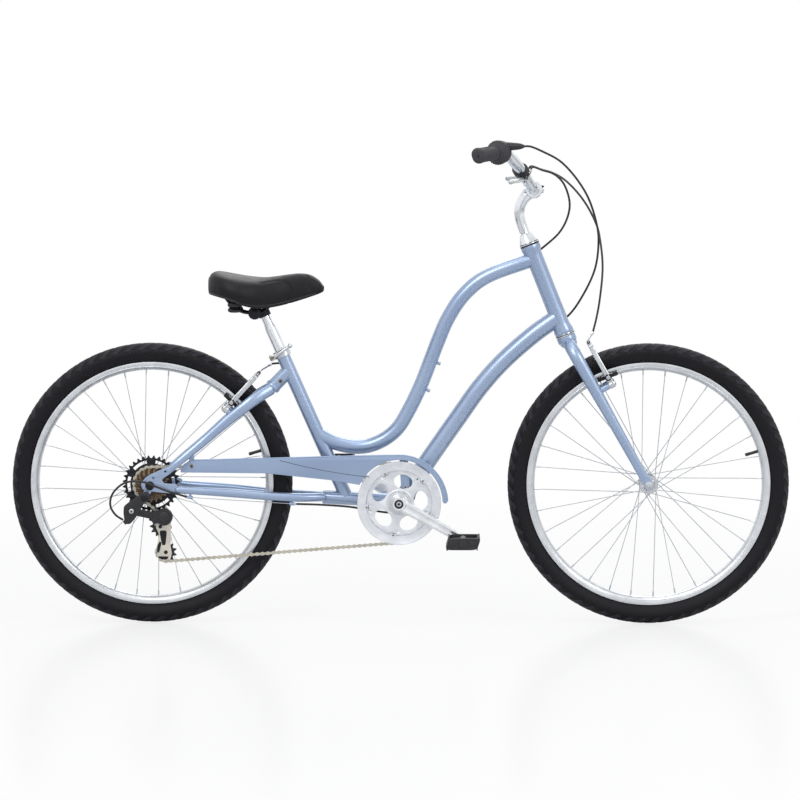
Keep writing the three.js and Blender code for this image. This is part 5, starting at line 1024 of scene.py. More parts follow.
def chain_link(inner, outer, high, pins):
    """The two side plates of a link, and its pins and rollers if it carries them."""
    outline = link_outline(high)
    shapes = [plate(outline, y, z, CHAIN_STEEL, (), 0) for y, z in ((inner, outer), (-outer, -inner))]
    if pins:
        for x in (-CHAIN_PITCH / 2, CHAIN_PITCH / 2):
            shapes.append(turned([(1.8, -3.75), (1.8, 3.75)], STEEL, (x, 0, 0), Y, 8))
            shapes.append(turned([(3.8, -1.6), (3.8, 1.6)], CHAIN_STEEL, (x, 0, 0), Y, 10))
    return together(shapes)


pair = [chain_link(2.75, 3.45, 4.1, True), chain_link(1.8, 2.6, 4.2, False)]
chain_links = []
for n in range(links):
    a, b = on_chain(n / links), on_chain((n + 1) / links)
    ahead = (b - a).normalized()
    up = ahead.cross(Y).normalized()
    across = up.cross(ahead)
    turn = Matrix((ahead, across, up)).transposed().to_4x4()
    chain_links.append(copy_of(pair[n % 2], Matrix.Translation((a + b) / 2) @ turn))
for shape in pair:
    bpy.data.objects.remove(shape)
piece("chain_dressed", "frame", "chain_steel", chain_links, "chain")

CRANKS = Matrix.Translation(BOTTOM) @ Matrix.Rotation(CRANK_TURN, 4, "Y")
CRANK_LENGTH = 170


def on_cranks(shapes):
    return [moved(shape, CRANKS) for shape in shapes]


def crank(inner):
    """A crank on the +Y side along +X, with a long groove down its face."""
    section = [(u * (0.72 if u > 0.9 and abs(v) < 0.42 else 1), v) for u, v in round_section(40, 0.55)]
    route = [Vector((x, y, 0)) for x, y in ((-6, 66), (24, 66), (85, 72.5), (146, 79), (160, 79))]
    eye = (CRANK_LENGTH, 0, 0)
    eye_rows = [(10.8, 72), (12, 73.2), (12, 84.8), (10.8, 86)]
    boss_rows = [
        (14.6, inner), (16.5, inner + 1.6), (16.5, 74.5), (15, 76.4), (10.6, 76.4), (10.6, 73), (4, 73),
    ]
    cap_rows = [(6.6, 72.8), (10.6, 72.8), (10.6, 77), (9.6, 77.6), (6.6, 77.6)]
    return [
        oval(route, [8, 10, 8, 7, 7], [15, 14.6, 12.6, 11.2, 11.4], POLISHED, section=section),
        turned(eye_rows, POLISHED, eye, Y, 40, soften=0.4),
        turned([(7.5, 85.5), (7.5, 87)], STEEL, eye, Y, 6),
        turned(boss_rows, POLISHED, (0, 0, 0), Y, 48),
        turned(cap_rows, BLACK_STEEL, (0, 0, 0), Y, 40, True),
        turned([(6.6, 72.8), (6.6, 76.4), (3, 76.4)], STEEL, (0, 0, 0), Y, 32, soften=0.4),
        # painted shade: a thin black hexagon stands for the recess of the crank bolt
        turned([(3.3, 76.3), (3.3, 76.6)], BLACK_STEEL, (0, 0, 0), Y, 6),
        turned([(6, 86), (8, 88), (8, 93), (6, 94), (6, 130)], STEEL, eye, Y, 24),
    ]


left_crank = moved(together(crank(44)), CRANKS @ Matrix.Rotation(math.pi, 4, "Y"))
piece("crank_left_dressed", "cranks", "alloy", [left_crank], "crank_left")
unmirrored = together(crank(54))
right_crank = mirror_of(unmirrored)
bpy.data.objects.remove(unmirrored)
spider = [
    turned([(25, -55.1), (25, -48.8)], ALLOY, (0, 0, 0), Y, 56, soften=1.2),
    turned([(21, -56), (16.5, -58)], ALLOY, (0, 0, 0), Y, 56),
]
piece("crank_right_dressed", "cranks", "alloy", on_cranks([right_crank, *spider]), "crank_right")

SPINDLE_ROWS = both_ends([(8.5, -64), (8.5, -34.5), (16.3, -34.5), (16.6, -33.4)])
spindle = on_cranks([turned(SPINDLE_ROWS, STEEL, (0, 0, 0), Y, 40)])
piece("bottom_spindle_dressed", "cranks", "bare_steel", spindle, "bottom_bracket_spindle")


def ring_window(lean):
    """An oval opening of the chainring, in a direction from its middle."""
    out, along, across = 51, 16.5, 22
    angles = [2 * math.pi * j / 32 for j in range(32)]
    upright_oval = [Vector((out + along * math.cos(a), across * math.sin(a))) for a in angles]
    return [tuple(Matrix.Rotation(lean, 2) @ spot) for spot in upright_oval]


fifth = 2 * math.pi / 5
ring_windows = [ring_window((i + 0.5) * fifth) for i in range(5)]
clip_holes = [circle(polar(70, i * fifth + 0.16), 2.4, 12) for i in range(5)]
ring_parts = [
    plate(toothed(CHAINRING_TEETH), -48.5, -46.5, WHITE_STEEL, ring_windows + clip_holes, 0.35),
    turned([(26.5, -48.4), (27.5, -49.2), (31, -49.2), (32, -48.4)], WHITE_STEEL, (0, 0, 0), Y, 64, True),
]
piece("chainring_dressed", "cranks", "bare_steel", on_cranks(ring_parts), "chainring")

GUARD_RING = [
    (77, -53.2), (77.6, -54.1), (94.6, -54.1), (95.4, -54.6), (97.3, -54.4), (98, -53.6), (98, -52.2),
    (97.4, -51.7), (77, -51.7),
]
guard_parts = [turned(GUARD_RING, WHITE_STEEL, (0, 0, 0), Y, 128, True)]
for i in range(5):
    clip = [
        box((71, -53.9, -6.5), (79.4, -51.9, 6.5), WHITE_STEEL, 0.5),
        box((71, -53.9, -6.5), (73, -48.9, 6.5), WHITE_STEEL, 0.5),
        turned([(3.3, -54.9), (3.3, -53.6)], STEEL, (76.2, 0, 0), Y, 16, soften=0.4),
        # painted shade: a thin black hexagon stands for the recess of the clip screw
        turned([(1.5, -55), (1.5, -54.8)], BLACK_STEEL, (76.2, 0, 0), Y, 6),
    ]
    guard_parts += [moved(shape, Matrix.Rotation(i * fifth, 4, "Y")) for shape in clip]
piece("chainring_guard_dressed", "cranks", "bare_steel", on_cranks(guard_parts), "chainring_guard")


def pedal():
    """A platform pedal round its axle: toothed rails, side plates and a capped barrel."""
    half = [(-37.5, -14), (32, -14), (39.5, 8), (38, 14), (-31, 14), (-39.5, -7)]
    side = rounded_outline(half, 5)
    made = [plate(side, -44, -38.5, PLASTIC, (), 1.2, 2), plate(side, 38.5, 44, PLASTIC, (), 1.2, 2)]
    for y in (-44.6, 43.2):
        for x in (-25, 22):
            made.append(box((x - 8, y, -6.5), (x + 8, y + 1.4, 6.5), PLASTIC, 0.6))
    front = [(31, -13.4), (33, -13.4), (39.4, 8), (38, 13.4), (34.5, 13.4), (31, 8)]
    made.append(plate(front, -40, 40, PLASTIC, (), 0.7))
    made.append(plate([(-x, -z) for x, z in front], -40, 40, PLASTIC, (), 0.7))
    made.append(turned([(9, -41), (11, -39), (11, 39), (9, 41)], PLASTIC, (0, 0, 0), Y, 32))
    made.append(turned([(12.5, 38), (12.5, 43), (11, 45.6), (5, 46.4)], PLASTIC, (0, 0, 0), Y, 40))
    for y in (-20, 0, 20):
        made.append(box((-34, y - 1.6, -7), (34, y + 1.6, 7), PLASTIC, 0.6))
    for i in range(9):
        y = -38 + i * 9.5
        for x, z in ((36.6, 13.2), (-36.6, -13.2)):
            made.append(box((x - 1.8, y - 2.1, z - 2.2), (x + 1.8, y + 2.1, z + 2.2), PLASTIC, 0.9))
        for x, z in ((32.6, -13.2), (-32.6, 13.2)):
            made.append(box((x - 1.3, y - 2.1, z - 1.8), (x + 1.3, y + 2.1, z + 1.8), PLASTIC, 0.7))
    return together(made)


PEDAL_REACH = Vector((math.cos(CRANK_TURN), 0, -math.sin(CRANK_TURN))) * CRANK_LENGTH - Y * 135
pedal_left = pedal()
pedal_right = mirror_of(pedal_left)
left_pair = shifted([pedal_left], BOTTOM - PEDAL_REACH)
right_pair = shifted([pedal_right], BOTTOM + PEDAL_REACH)
piece("pedal_left_dressed", "left_pedal", "black_plastic", left_pair, "pedal_left")
piece("pedal_right_dressed", "right_pedal", "black_plastic", right_pair, "pedal_right")

# Chain guard: its face, the rolled lip over the chain, a black line painted as the shade of a pressed crease,
# and its bracket
GUARD_OUTER, GUARD_INNER = 113.5, 101.5
TIP, HEAD_END, FOOT_END = (math.radians(d) for d in (3, 86, 155))
GUARD_CORNERS = [(-0.4166, 0.0506), (-0.4395, 0.0252), (-0.2651, 0.0236), (-0.1411, 0.0105)]
tail, heel, belly, foot = (tuple(at(x, z).xz) for x, z in GUARD_CORNERS)
outer_arc = arc(BOTTOM, GUARD_OUTER, HEAD_END, TIP, 26)
inner_arc = arc(BOTTOM, GUARD_INNER, TIP, FOOT_END, 40)
tip_round = arc(polar(107.5, TIP, BOTTOM), 6, TIP, TIP - math.pi, 10)[1:-1]
heel_round = [heel, (heel[0] + 1, heel[1] + 9), (heel[0] + 8, heel[1] + 20), (tail[0] - 8, tail[1] - 4)]
face_outline = [*heel_round, tail, *outer_arc, *tip_round, *inner_arc, foot, belly]
lip_top = [(tail[0] + 22, tail[1]), *outer_arc[:14]]
lip_under = [(x, z - 2) for x, z in reversed(lip_top)]
edge = [Vector((x, -54.2, z - 0.6)) for x, z in ((tail[0] + 2, tail[1]), *outer_arc)]
crease_shade_line = [(-279.9, 388), (-225, 374.5), (-160, 361.5), (-100, 352.5), (-70, 349.5)]
screw = at(0.0116, -0.0043)
roof = math.sqrt(GUARD_OUTER ** 2 - 20 ** 2) - 1
bracket = [
    (BOTTOM.x, BOTTOM.z + 111.5), (BOTTOM.x + 20, BOTTOM.z + roof), (screw.x + 10, screw.z - 6),
    (screw.x - 10, screw.z - 6),
]
cover = [
    plate(face_outline, -54.8, -52.6, GUARD_PAINT, (), 0.8, 2),
    plate(lip_top + lip_under, -53.8, -39.9, GUARD_PAINT, (), 0.5),
    tube(edge, 1.5, GUARD_PAINT, 90, 4),
    # painted shade: a thin black line along the face stands for the shade of a pressed crease
    tube([Vector((x, -54.75, z)) for x, z in crease_shade_line], 0.55, BLACK_STEEL, 30, 3),
    plate(bracket, -42.3, -39.9, GUARD_PAINT, (), 0.5),
    turned([(6, 0), (6, 20)], GUARD_PAINT, screw - Y * 41, Y, 24),
    *bolt(at_side(tab, -54.7), -Y, 4.2, BRONZE, 1.8),
    *bolt(at_side(screw, -42.2), -Y, 5, STEEL, 2.4),
]
piece("chain_guard_dressed", "frame", "guard_paint", cover, "chain_guard")

# Rear derailleur
def steps_from(rows, places, scale):
    """An outline through rows of a named place and how far from it, in steps of a scale."""
    return [(places[name].x + x * scale, places[name].z + z * scale) for name, x, z in rows]


LINK_ROOT, LINK_TIP = at(-0.5382, -0.0498, -81.3), at(-0.4953, -0.0618, -57)
BARREL = at(-0.5462, -0.0718, -81.3)
CAGE_PIVOT = at(-0.473, -0.0644)
spots = {
    "bolt": hanger_bolt, "root": LINK_ROOT, "barrel": BARREL, "pivot": CAGE_PIVOT, "guide": GUIDE,
    "tension": TENSION,
}
knuckle_rows = [
    ("bolt", -0.3, 0.95), ("bolt", 0.95, 0), ("bolt", -0.2, -1.2), ("root", 1, -1.28),
    ("barrel", 0.7, -0.4), ("barrel", -0.4, -0.4), ("barrel", -0.4, 0.4), ("root", -1.3, -0.3),
    ("root", -1.2, 1),
]
fall = Vector((LINK_TIP.x - LINK_ROOT.x, 0, LINK_TIP.z - LINK_ROOT.z)).normalized()
upright = fall.cross(Y)
upright = upright if upright.z > 0 else -upright


def ears(place):
    """The two ears that hold one end of the link, with the ends of its pin."""
    made = []
    for out in (-upright, upright):
        face = place + out * 12.8
        made.append(rod(place + out * 8.3, face, 6.5, PLASTIC, 32, 0.6))
        made.append(rod(face, face + out * 0.9, 3, STEEL, 20, 0.3))
    return made


knuckle = [
    plate(rounded_outline(steps_from(knuckle_rows, spots, 12.5)), -88.8, -74, PLASTIC, (), 2.2, 3),
    turned([(10, 88.8), (12.5, 86.5), (12.5, 74)], PLASTIC, hanger_bolt, -Y, 48, soften=0.6),
    turned([(8.2, 88.6), (8.2, 90.2), (7, 91.2)], BLACK_STEEL, hanger_bolt, -Y, 40),
    # painted shade: a thin black hexagon stands for the recess of the hanger bolt
    turned([(3.4, 91), (3.4, 91.4)], BLACK_STEEL, hanger_bolt, -Y, 6),
    turned([(8.5, 7), (8.5, 9.5), (7.5, 10.4)], PLASTIC, LINK_ROOT + Vector((3, 0, 0)), -Y, 36),
    turned([(5.6, 10.2), (5.6, 11.6), (4.8, 12.2)], STEEL, LINK_ROOT + Vector((3, 0, 0)), -Y, 32),
    # painted shade: a thin black hexagon stands for the recess of the pin bolt
    turned([(2.4, 12), (2.4, 12.4)], BLACK_STEEL, LINK_ROOT + Vector((3, 0, 0)), -Y, 6),
    rod(hanger_bolt - Y * 74, hanger_bolt - Y * 66.5, 5, STEEL),
    *ears(LINK_ROOT),
    rod(BARREL + Vector((2, 0, 2)), BARREL + Vector((-6, 0, -3)), 5, PLASTIC, 20, 0.8),
]
piece("derailleur_knuckle_dressed", "knuckle", "black_plastic", knuckle, "derailleur_knuckle")

ahead = LINK_TIP - LINK_ROOT
flat = (ahead - upright * ahead.dot(upright)).normalized()
beside = upright.cross(flat)
rings = []
for high in (-8, 8):
    ring = []
    for end, first in ((LINK_ROOT, math.pi / 2), (LINK_TIP, -math.pi / 2)):
        for k in range(12):
            a = first + math.pi * k / 11
            ring.append(end + flat * 6.4 * math.cos(a) + beside * 6.4 * math.sin(a) + upright * high)
    rings.append(ring)
web = finished(lofted(rings, PLASTIC), PLASTIC, 1.2)
piece("derailleur_link_dressed", "link", "black_plastic", [web], "derailleur_link")

drum_rows = [(17.5, -63.3), (20, -61), (20, -55), (18.8, -54), (18.8, -49), (20, -48), (19, -46.3)]
tail_block = [
    [LINK_TIP + upright * h + Vector((x, y, 0)) for x, y in ((0, -6), (22, -6), (22, 6), (0, 6))]
    for h in (-12, 12)
]
pivot_parts = [
    turned(drum_rows, PLASTIC, CAGE_PIVOT, Y, 56),
    turned([(14, 63), (13, 65), (9, 66.4), (4, 66.8)], PLASTIC, CAGE_PIVOT, -Y, 48),
    *ears(LINK_TIP),
    lofted(tail_block, PLASTIC),
    box(CAGE_PIVOT + Vector((-26, -62, -15)), CAGE_PIVOT + Vector((-12, -48, -5)), PLASTIC, 2),
    rod(CAGE_PIVOT + Vector((-20, -60, -16)), CAGE_PIVOT + Vector((-20, -60, -19)), 2, STEEL, 16),
]
piece("derailleur_pivot_dressed", "pivot_body", "black_plastic", pivot_parts, "derailleur_pivot_body")

outer_cage = [
    ("pivot", -0.9, 0.5), ("pivot", 0.2, 1), ("pivot", 1.1, 0.2), ("guide", 1.9, -0.6), ("guide", 1.9, -2.4),
    ("tension", 0.8, 1.4), ("tension", 1.1, -0.2), ("tension", 0.8, -1.3), ("tension", -0.4, -1.6),
    ("tension", -1.7, -1),
    ("tension", -1.8, 0.4), ("guide", -0.4, -2.4), ("guide", -0.2, -1.4), ("guide", -0.9, 0),
]
inner_cage = [
    ("guide", 1.5, -1), ("tension", 0.7, 1.6), ("tension", 1, -0.3), ("tension", 0.2, -1),
    ("tension", -0.8, -0.6),
    ("tension", -1, 0.4), ("guide", -0.7, -1), ("guide", -1, 0), ("guide", -0.3, 0.8), ("guide", 0.7, 0.5),
]
CAGE_WINDOWS = [
    [(-0.2, -0.7), (1.2, -0.7), (0.9, -3.4), (0.3, -3.4)],
    [(-0.2, -2.6), (0.3, -2.9), (-0.2, -4.8), (-1.2, -4.8)],
    [(-0.5, -5.4), (1.5, -5.4), (1.2, -6), (-0.1, -6)],
]
cage_holes = [
    rounded_outline([(GUIDE.x + x * 13, GUIDE.z + z * 13) for x, z in window])
    for window in CAGE_WINDOWS
]
# painted shade: a black sheet behind the outer cage fills its windows with dark
shade_behind_windows = [(x * 0.92 + GUIDE.x * 0.08, z) for x, z in steps_from(outer_cage[3:], spots, 12)]
cage_parts = [
    plate(rounded_outline(steps_from(outer_cage, spots, 13), 5), -46, -44.2, CAGE_STEEL, cage_holes, 0.6),
    plate(rounded_outline(shade_behind_windows, 5), -44.2, -43.4, BLACK_STEEL, (), 0.2),
    plate(rounded_outline(steps_from(inner_cage, spots, 13), 5), -32, -30, CAGE_STEEL, (), 0.6),
    rod(CAGE_PIVOT - Y * 56, CAGE_PIVOT - Y * 44, 5, STEEL),
]
for place in (GUIDE, TENSION):
    cage_parts.append(rod(at_side(place, -46.5), at_side(place, -29.5), 2.9, STEEL, 20))
    cage_parts += bolt(at_side(place, -46), -Y, 4.4, BLACK_STEEL, 2)
piece("derailleur_cage_dressed", "cage", "cage_steel", cage_parts, "derailleur_cage")


def pulley(place):
    """A toothed pulley with five holes, on its bushing."""
    holes = [circle(polar(9.5, i * fifth), 2.6, 16) for i in range(5)]
    bushing = both_ends([(3.1, -5.6), (5.4, -5.6)])
    made = [
        plate(toothed(PULLEY_TEETH), -1.2, 1.2, PLASTIC, holes, 0.3),
        turned(bushing, PLASTIC, (0, 0, 0), Y, 28, True, 0.3),
    ]
    return shifted(made, place)


piece("guide_pulley_dressed", "upper_pulley", "black_plastic", pulley(GUIDE), "guide_pulley")
piece("tension_pulley_dressed", "lower_pulley", "black_plastic", pulley(TENSION), "tension_pulley")


# Rim brakes, whose pads press on the rims at a distance from the axles
PAD_CIRCLE = 270.5


def brake_arm(pivot, up, out, wheel):
    """A linear pull arm on the +Y side, with its pad, post, washers and spring."""
    base = pivot + Y * PIVOT_SIDE
    route = [base + up * h - Y * inset for h, inset in ((-4, 0), (18, 0), (62, 1.5), (96, 3.5), (106, 4))]
    square = round_section(28, 0.45)
    made = [oval(route, [8, 7, 4.8, 4, 3.6], [6.5, 6.4, 6, 5.6, 5.2], ALLOY, section=square)]
    made.append(prism(base, up, out, (14, 38), ((-11, -5), (-2, -5), (-2, 5), (-11, 5)), ALLOY, 1.4))
    for h in (70, 76, 82, 88):
        made.append(
            rod(base + up * h + Y * 0.5 - out * 6.4, base + up * h + Y * 0.5 + out * 6.4, 1.1, STEEL, 10)
        )
    made.append(turned([(8.4, -6.2), (8.8, -5), (8.8, 5), (8.2, 6.2)], ALLOY, base, out, 40))
    half = (pivot - wheel).dot(up)
    reach = math.sqrt(half * half - (pivot - wheel).length_squared + PAD_CIRCLE ** 2) - half
    pad = pivot + up * reach
    radial = (pad - wheel).normalized()
    tangent = Y.cross(radial)
    face = pad + Y * 17
    rings = []
    for t, h in ((-25, 3.2), (-23.5, 4.5), (23.5, 4.5), (25, 3.2)):
        section = ((0.2, -h), (0.2, h), (6.5, h), (8.8, h - 1.6), (8.8, 1.6 - h), (6.5, -h))
        rings.append([face + tangent * t + Y * y + radial * r for y, r in section])
    made.append(finished(lofted(rings, PAD), PAD, 0.5))
    rib = ((-0.3, -4.6), (-0.3, 4.6), (1, 4.6), (1, -4.6))
    for t in (-15, -5, 5, 15):
        made.append(prism(face, tangent, radial, (t - 3.4, t + 3.4), rib, PAD, 0.3))
    post = pad + Y * 26
    made.append(rod(post - Y * 2, base + up * reach + Y * 9, 3, STEEL, 16))
    end = base + up * reach
    made.append(turned([(7.5, -13), (8.5, -11.5), (7, -8)], BLACK_STEEL, end, Y, 28))
    made.append(turned([(7, 6.4), (8, 7.4), (8, 9)], BLACK_STEEL, end, Y, 28))
    made.append(turned([(5.2, 9), (5.2, 13)], STEEL, end, Y, 6, soften=0.5))
    spring = [
        base + up * -2 + Y * 8 + out * 3, base + up * 20 + Y * 10.5 + out * 3,
        base + up * 48 + Y * 8.5 + out * 2, base + up * 60 + Y * 5,
    ]
    made.append(tube(spring, 0.9, STEEL, 20, 2))
    made.append(turned([(4.4, -5.4), (4.4, 6)], STEEL, base + up * 101 - Y * 3.6, out, 20, soften=0.8))
    return made


for name, pivot, up, out, wheel in (
    ("front", FRONT_PIVOT, FRONT_ARM_UP, FRONT_ARM_OUT, FRONT),
    ("rear", REAR_PIVOT, REAR_ARM_UP, REAR_ARM_OUT, REAR),
):
    arm = brake_arm(pivot, up, out, wheel)
    both_sides(name + "_brake_arm", name + "_arm_left", "alloy", arm, name + "_arm_right")

# Stem and handlebar
BAR_CENTRE = at(0.2678, 0.5914)
BAR_BACK, BAR_HALF, BAR_RISE = 130, 318, 90


def on_bar(back, up, side):
    """A place on the bar, given as shares of its sweep back, its rise and its half width."""
    return BAR_CENTRE + Vector((-back * BAR_BACK, side * BAR_HALF, up * BAR_RISE))


BAR_END = on_bar(1, 0.88, 1)
BAR_IN = (on_bar(0.646, 0.97, 0.6875) - BAR_END).normalized()
bar_left = [
    on_bar(0, 0, 0.1), on_bar(0.1, 0.2, 0.22), on_bar(0.285, 0.6, 0.41), BAR_END + BAR_IN * 146,
    BAR_END + BAR_IN * 130,
    BAR_END + BAR_IN * 65, BAR_END,
]
bar_route = [*[flip(p) for p in reversed(bar_left)], BAR_CENTRE, *bar_left]
slim = [0.87] * 7 + [1] * 14 + [0.87] * 7
handlebar = [tube(bar_route, 12.7, CHROME, 150, 8, slim)]
piece("handlebar_dressed", "steering", "chrome", handlebar, "handlebar")

NECK = [(0.2503, 0.5053), (0.2405, 0.5345), (0.2404, 0.557), (0.252, 0.5775)]
neck_foot = [HEAD_TOP + STEER_UP * 12, HEAD_TOP + STEER_UP * 34]
neck_route = [*neck_foot, *[at(x, z) for x, z in NECK], BAR_CENTRE - Vector((7, 0, 6))]
stem = [
    tube(neck_route, 11.6, CHROME, 60, 8, [1, 1, 1, 1.02, 1.06, 1.12, 1.3]),
    turned(both_ends([(13, -22), (18.6, -22), (20, -20.6)]), CHROME, BAR_CENTRE, Y, 56, True),
    box(BAR_CENTRE + Vector((-24, -21, -5.2)), BAR_CENTRE + Vector((-13, 21, 5.2)), CHROME, 2.2),
    box(BAR_CENTRE + Vector((13, -21, -5.2)), BAR_CENTRE + Vector((24, 21, 5.2)), CHROME, 2.2),
]
for x in (-19.5, 19.5):
    for y in (-13, 13):
        stem += bolt(BAR_CENTRE + Vector((x, y, 5)), Z, 4.6, BLACK_STEEL if x > 0 else CHROME, 4)
        stem.append(turned([(3.6, 5), (3.6, 8)], STEEL, BAR_CENTRE + Vector((x, y, 0)), -Z, 6, soften=0.3))
piece("stem_dressed", "steering", "chrome", stem, "stem")


def ribbed(rows, count, finish, place, direction):
    """A lathed shape with ribs round it: rows of radius, height and how far the ribs stand."""
    rings = []
    for radius, height, ripple in rows:
        ring = []
        for i in range(count * 4):
            r = radius + (ripple if i % 4 in (1, 2) else 0)
            ring.append((*polar(r, 2 * math.pi * i / (count * 4)), height))
        rings.append(ring)
    return stood(lofted(rings, finish), place, direction)


def grip(length, place, inward):
    """A closed rubber grip: a rolled end, a black disc painted as the shade of a small hole in it, and fine
    rings along it.
    """
    rows = [(3, -1.9), (12, -2.3), (15, -1.2), (16.6, 1), (16.6, 6), (15.6, 7.4), (15.1, 8)]
    height = 10
    while height < length - 9:
        rows += [(15.1, height), (15.45, height + 0.6), (15.45, height + 2.2), (15.1, height + 2.8)]
        height += 4.2
    rows += [(15.1, length - 5), (15.8, length - 4), (15.8, length - 1), (14.6, length), (11.3, length)]
    made = [turned(rows, GRIP, place, inward, 56)]
    # painted shade: a black disc on the closed end stands for the small hole
    made.append(turned([(2.6, -2.1), (2.6, -1.6)], BLACK_STEEL, place, inward, 16))
    return made


RIGHT_END, RIGHT_IN = flip(BAR_END), flip(BAR_IN)
piece("grip_right_dressed", "steering", "grip_rubber", grip(86, RIGHT_END, RIGHT_IN), "grip_right")
piece("grip_left_dressed", "steering", "grip_rubber", grip(124, BAR_END, BAR_IN), "grip_left")
twist_rows = [
    (11.6, 86.4, 0), (16.6, 86.4, 0), (17, 88, 0.6), (19, 92, 0.9), (22, 97, 0.9), (25.6, 100, 0.9),
    (26.6, 102, 1.2), (27, 104, 1.2), (27, 107, 1.2), (26, 108.2, 0), (11.6, 108.2, 0),
]
twist = ribbed(twist_rows, 30, GRIP, RIGHT_END, RIGHT_IN)
piece("shifter_twist_dressed", "twist_grip", "grip_rubber", [twist], "shifter_twist")

middle = BAR_END + BAR_IN * 117.1
snout_root = middle + Z * 13 + X * 6.5
shifter_exit = on_bar(0.2, 1.125, 0.65)
snout_way = (snout_root - shifter_exit).normalized()
snout_points = [
    flip(p)
    for p in (
        snout_root - X * 4, snout_root.lerp(shifter_exit, 0.35), snout_root.lerp(shifter_exit, 0.75),
        shifter_exit + snout_way * 4,
    )
]
shifter = [
    turned(
        [(11.8, 108.7), (25.2, 108.7), (26, 109.8), (26, 123.6), (24, 125.6), (11.8, 125.6)], PLASTIC,
        RIGHT_END, RIGHT_IN, 64, True,
    ),
    oval(snout_points, [13, 10.5, 8, 6], [11, 9.5, 7.5, 5.6], PLASTIC, side=Y, count=24),
    rod(flip(shifter_exit + snout_way * 10), flip(shifter_exit), 4.2, PLASTIC, 20, 0.6),
]
for k in range(3):
    rib_foot, rib_top = (flip(shifter_exit + snout_way * (s + 4 * k)) for s in (11, 13))
    shifter.append(rod(rib_foot, rib_top, 5.4 + 0.5 * k, PLASTIC, 24, 0.4))
piece("shifter_body_dressed", "steering", "black_plastic", shifter, "shifter_body")

# Brake levers with their brackets
LEVER_PIVOT = on_bar(0.185, 0.304, 0.39)
LEVER_BEND = on_bar(0.23, 0.278, 0.472)
LEVER_TIP = on_bar(0.438, 0.244, 0.912)
CABLE_EXIT = on_bar(0.077, 0.511, 0.33)
LEVER_AXIS = Vector((0.7092, 0.16283, 0.68595))
ring_centre = on_bar(0.229, 0.481, 0.353)
ring_way = (on_bar(0.285, 0.6, 0.41) - on_bar(0.1, 0.2, 0.22)).normalized()
exit_way = (CABLE_EXIT - LEVER_PIVOT).normalized()
mount = [
    turned(both_ends([(12.9, -9), (16.6, -9), (17.5, -8)]), PLASTIC, ring_centre, ring_way, 48, True),
    rod(ring_centre, LEVER_PIVOT, 8, PLASTIC, 28, 0.8),
    rod(LEVER_PIVOT + LEVER_AXIS * 3.5, LEVER_PIVOT + LEVER_AXIS * 6.7, 8, PLASTIC, 32, 0.8),
    rod(LEVER_PIVOT - LEVER_AXIS * 3.5, LEVER_PIVOT - LEVER_AXIS * 6.7, 8, PLASTIC, 32, 0.8),
    rod(LEVER_PIVOT - LEVER_AXIS * 7.4, LEVER_PIVOT + LEVER_AXIS * 7.4, 2.6, STEEL, 20, 0.3),
    rod(LEVER_PIVOT + exit_way * 9, CABLE_EXIT - exit_way * 7, 5.5, PLASTIC, 28, 0.6),
    rod(CABLE_EXIT - exit_way * 9, CABLE_EXIT - exit_way * 0.3, 5, ALLOY, 16, 0.5),
    rod(CABLE_EXIT - exit_way * 13, CABLE_EXIT - exit_way * 10, 6.3, ALLOY, 18, 0.5),
]
both_sides("lever_bracket", "steering", "black_plastic", mount)
finger = [
    LEVER_PIVOT, LEVER_BEND, LEVER_BEND.lerp(LEVER_TIP, 0.35), LEVER_BEND.lerp(LEVER_TIP, 0.72),
    LEVER_TIP,
]
lever = [
    oval(finger, [3.2, 3.2, 3, 2.9, 2.9], [5.5, 6, 6.4, 6, 4.6], ALLOY, side=LEVER_AXIS, count=36),
    rod(LEVER_PIVOT - LEVER_AXIS * 3.2, LEVER_PIVOT + LEVER_AXIS * 3.2, 5.5, ALLOY, 28, 0.4),
    ball(LEVER_TIP, 6.2, ALLOY),
]
both_sides("brake_lever", "left_lever", "alloy", lever, "right_lever")

# Seat clamp with its quick lever, seat post and saddle
SEAT_FRAME = Matrix((SEAT_AHEAD, Y, SEAT_UP)).transposed().to_4x4()
SEAT_FRAME.translation = SEAT_TOP


def in_seat(x, y, z):
    """A place given ahead of, beside and above the top of the seat tube, along its own lean."""
    return SEAT_FRAME @ Vector((x, y, z))


collar_middle = -3
collar = [
    turned(
        [(16.1, -11.5), (19.4, -11.5), (20, -10.8), (20, 4.8), (19.4, 5.5), (16.1, 5.5)], ALLOY, SEAT_TOP,
        SEAT_UP, 56, True,
    ),
    moved(box((-30, -8.6, -11), (-17, -1.5, 5), ALLOY, 1.2), SEAT_FRAME),
    moved(box((-30, 1.5, -11), (-17, 8.6, 5), ALLOY, 1.2), SEAT_FRAME),
    rod(in_seat(-23.5, -12, collar_middle), in_seat(-23.5, 12, collar_middle), 3, STEEL, 20),
    turned([(7, 9), (7, 13), (5, 15)], BRONZE, in_seat(-23.5, 0, collar_middle), Y, 28, soften=0.5),
]
piece("seat_clamp_dressed", "frame", "black_steel", collar, "seat_clamp")
lever_points = [
    in_seat(-23.5, -19, -3), in_seat(-13, -24.4, -1.4), in_seat(0, -27, 0.8), in_seat(26.5, -27.2, 6.4),
]
quick = [
    rod(in_seat(-23.5, -19, -9), in_seat(-23.5, -19, 3), 7, ALLOY, 36, 1),
    oval(lever_points, [4.4, 4, 3.4, 2.8], [5.5, 5, 4, 3.2], ALLOY, side=Y),
    ball(lever_points[-1], 5.5, ALLOY),
    rod(in_seat(-23.5, -25.4, -3), in_seat(-23.5, -27.6, -3), 4.6, BRONZE, 24, 0.6),
]
piece("seat_clamp_lever_dressed", "clamp_lever", "alloy", quick, "seat_clamp_lever")

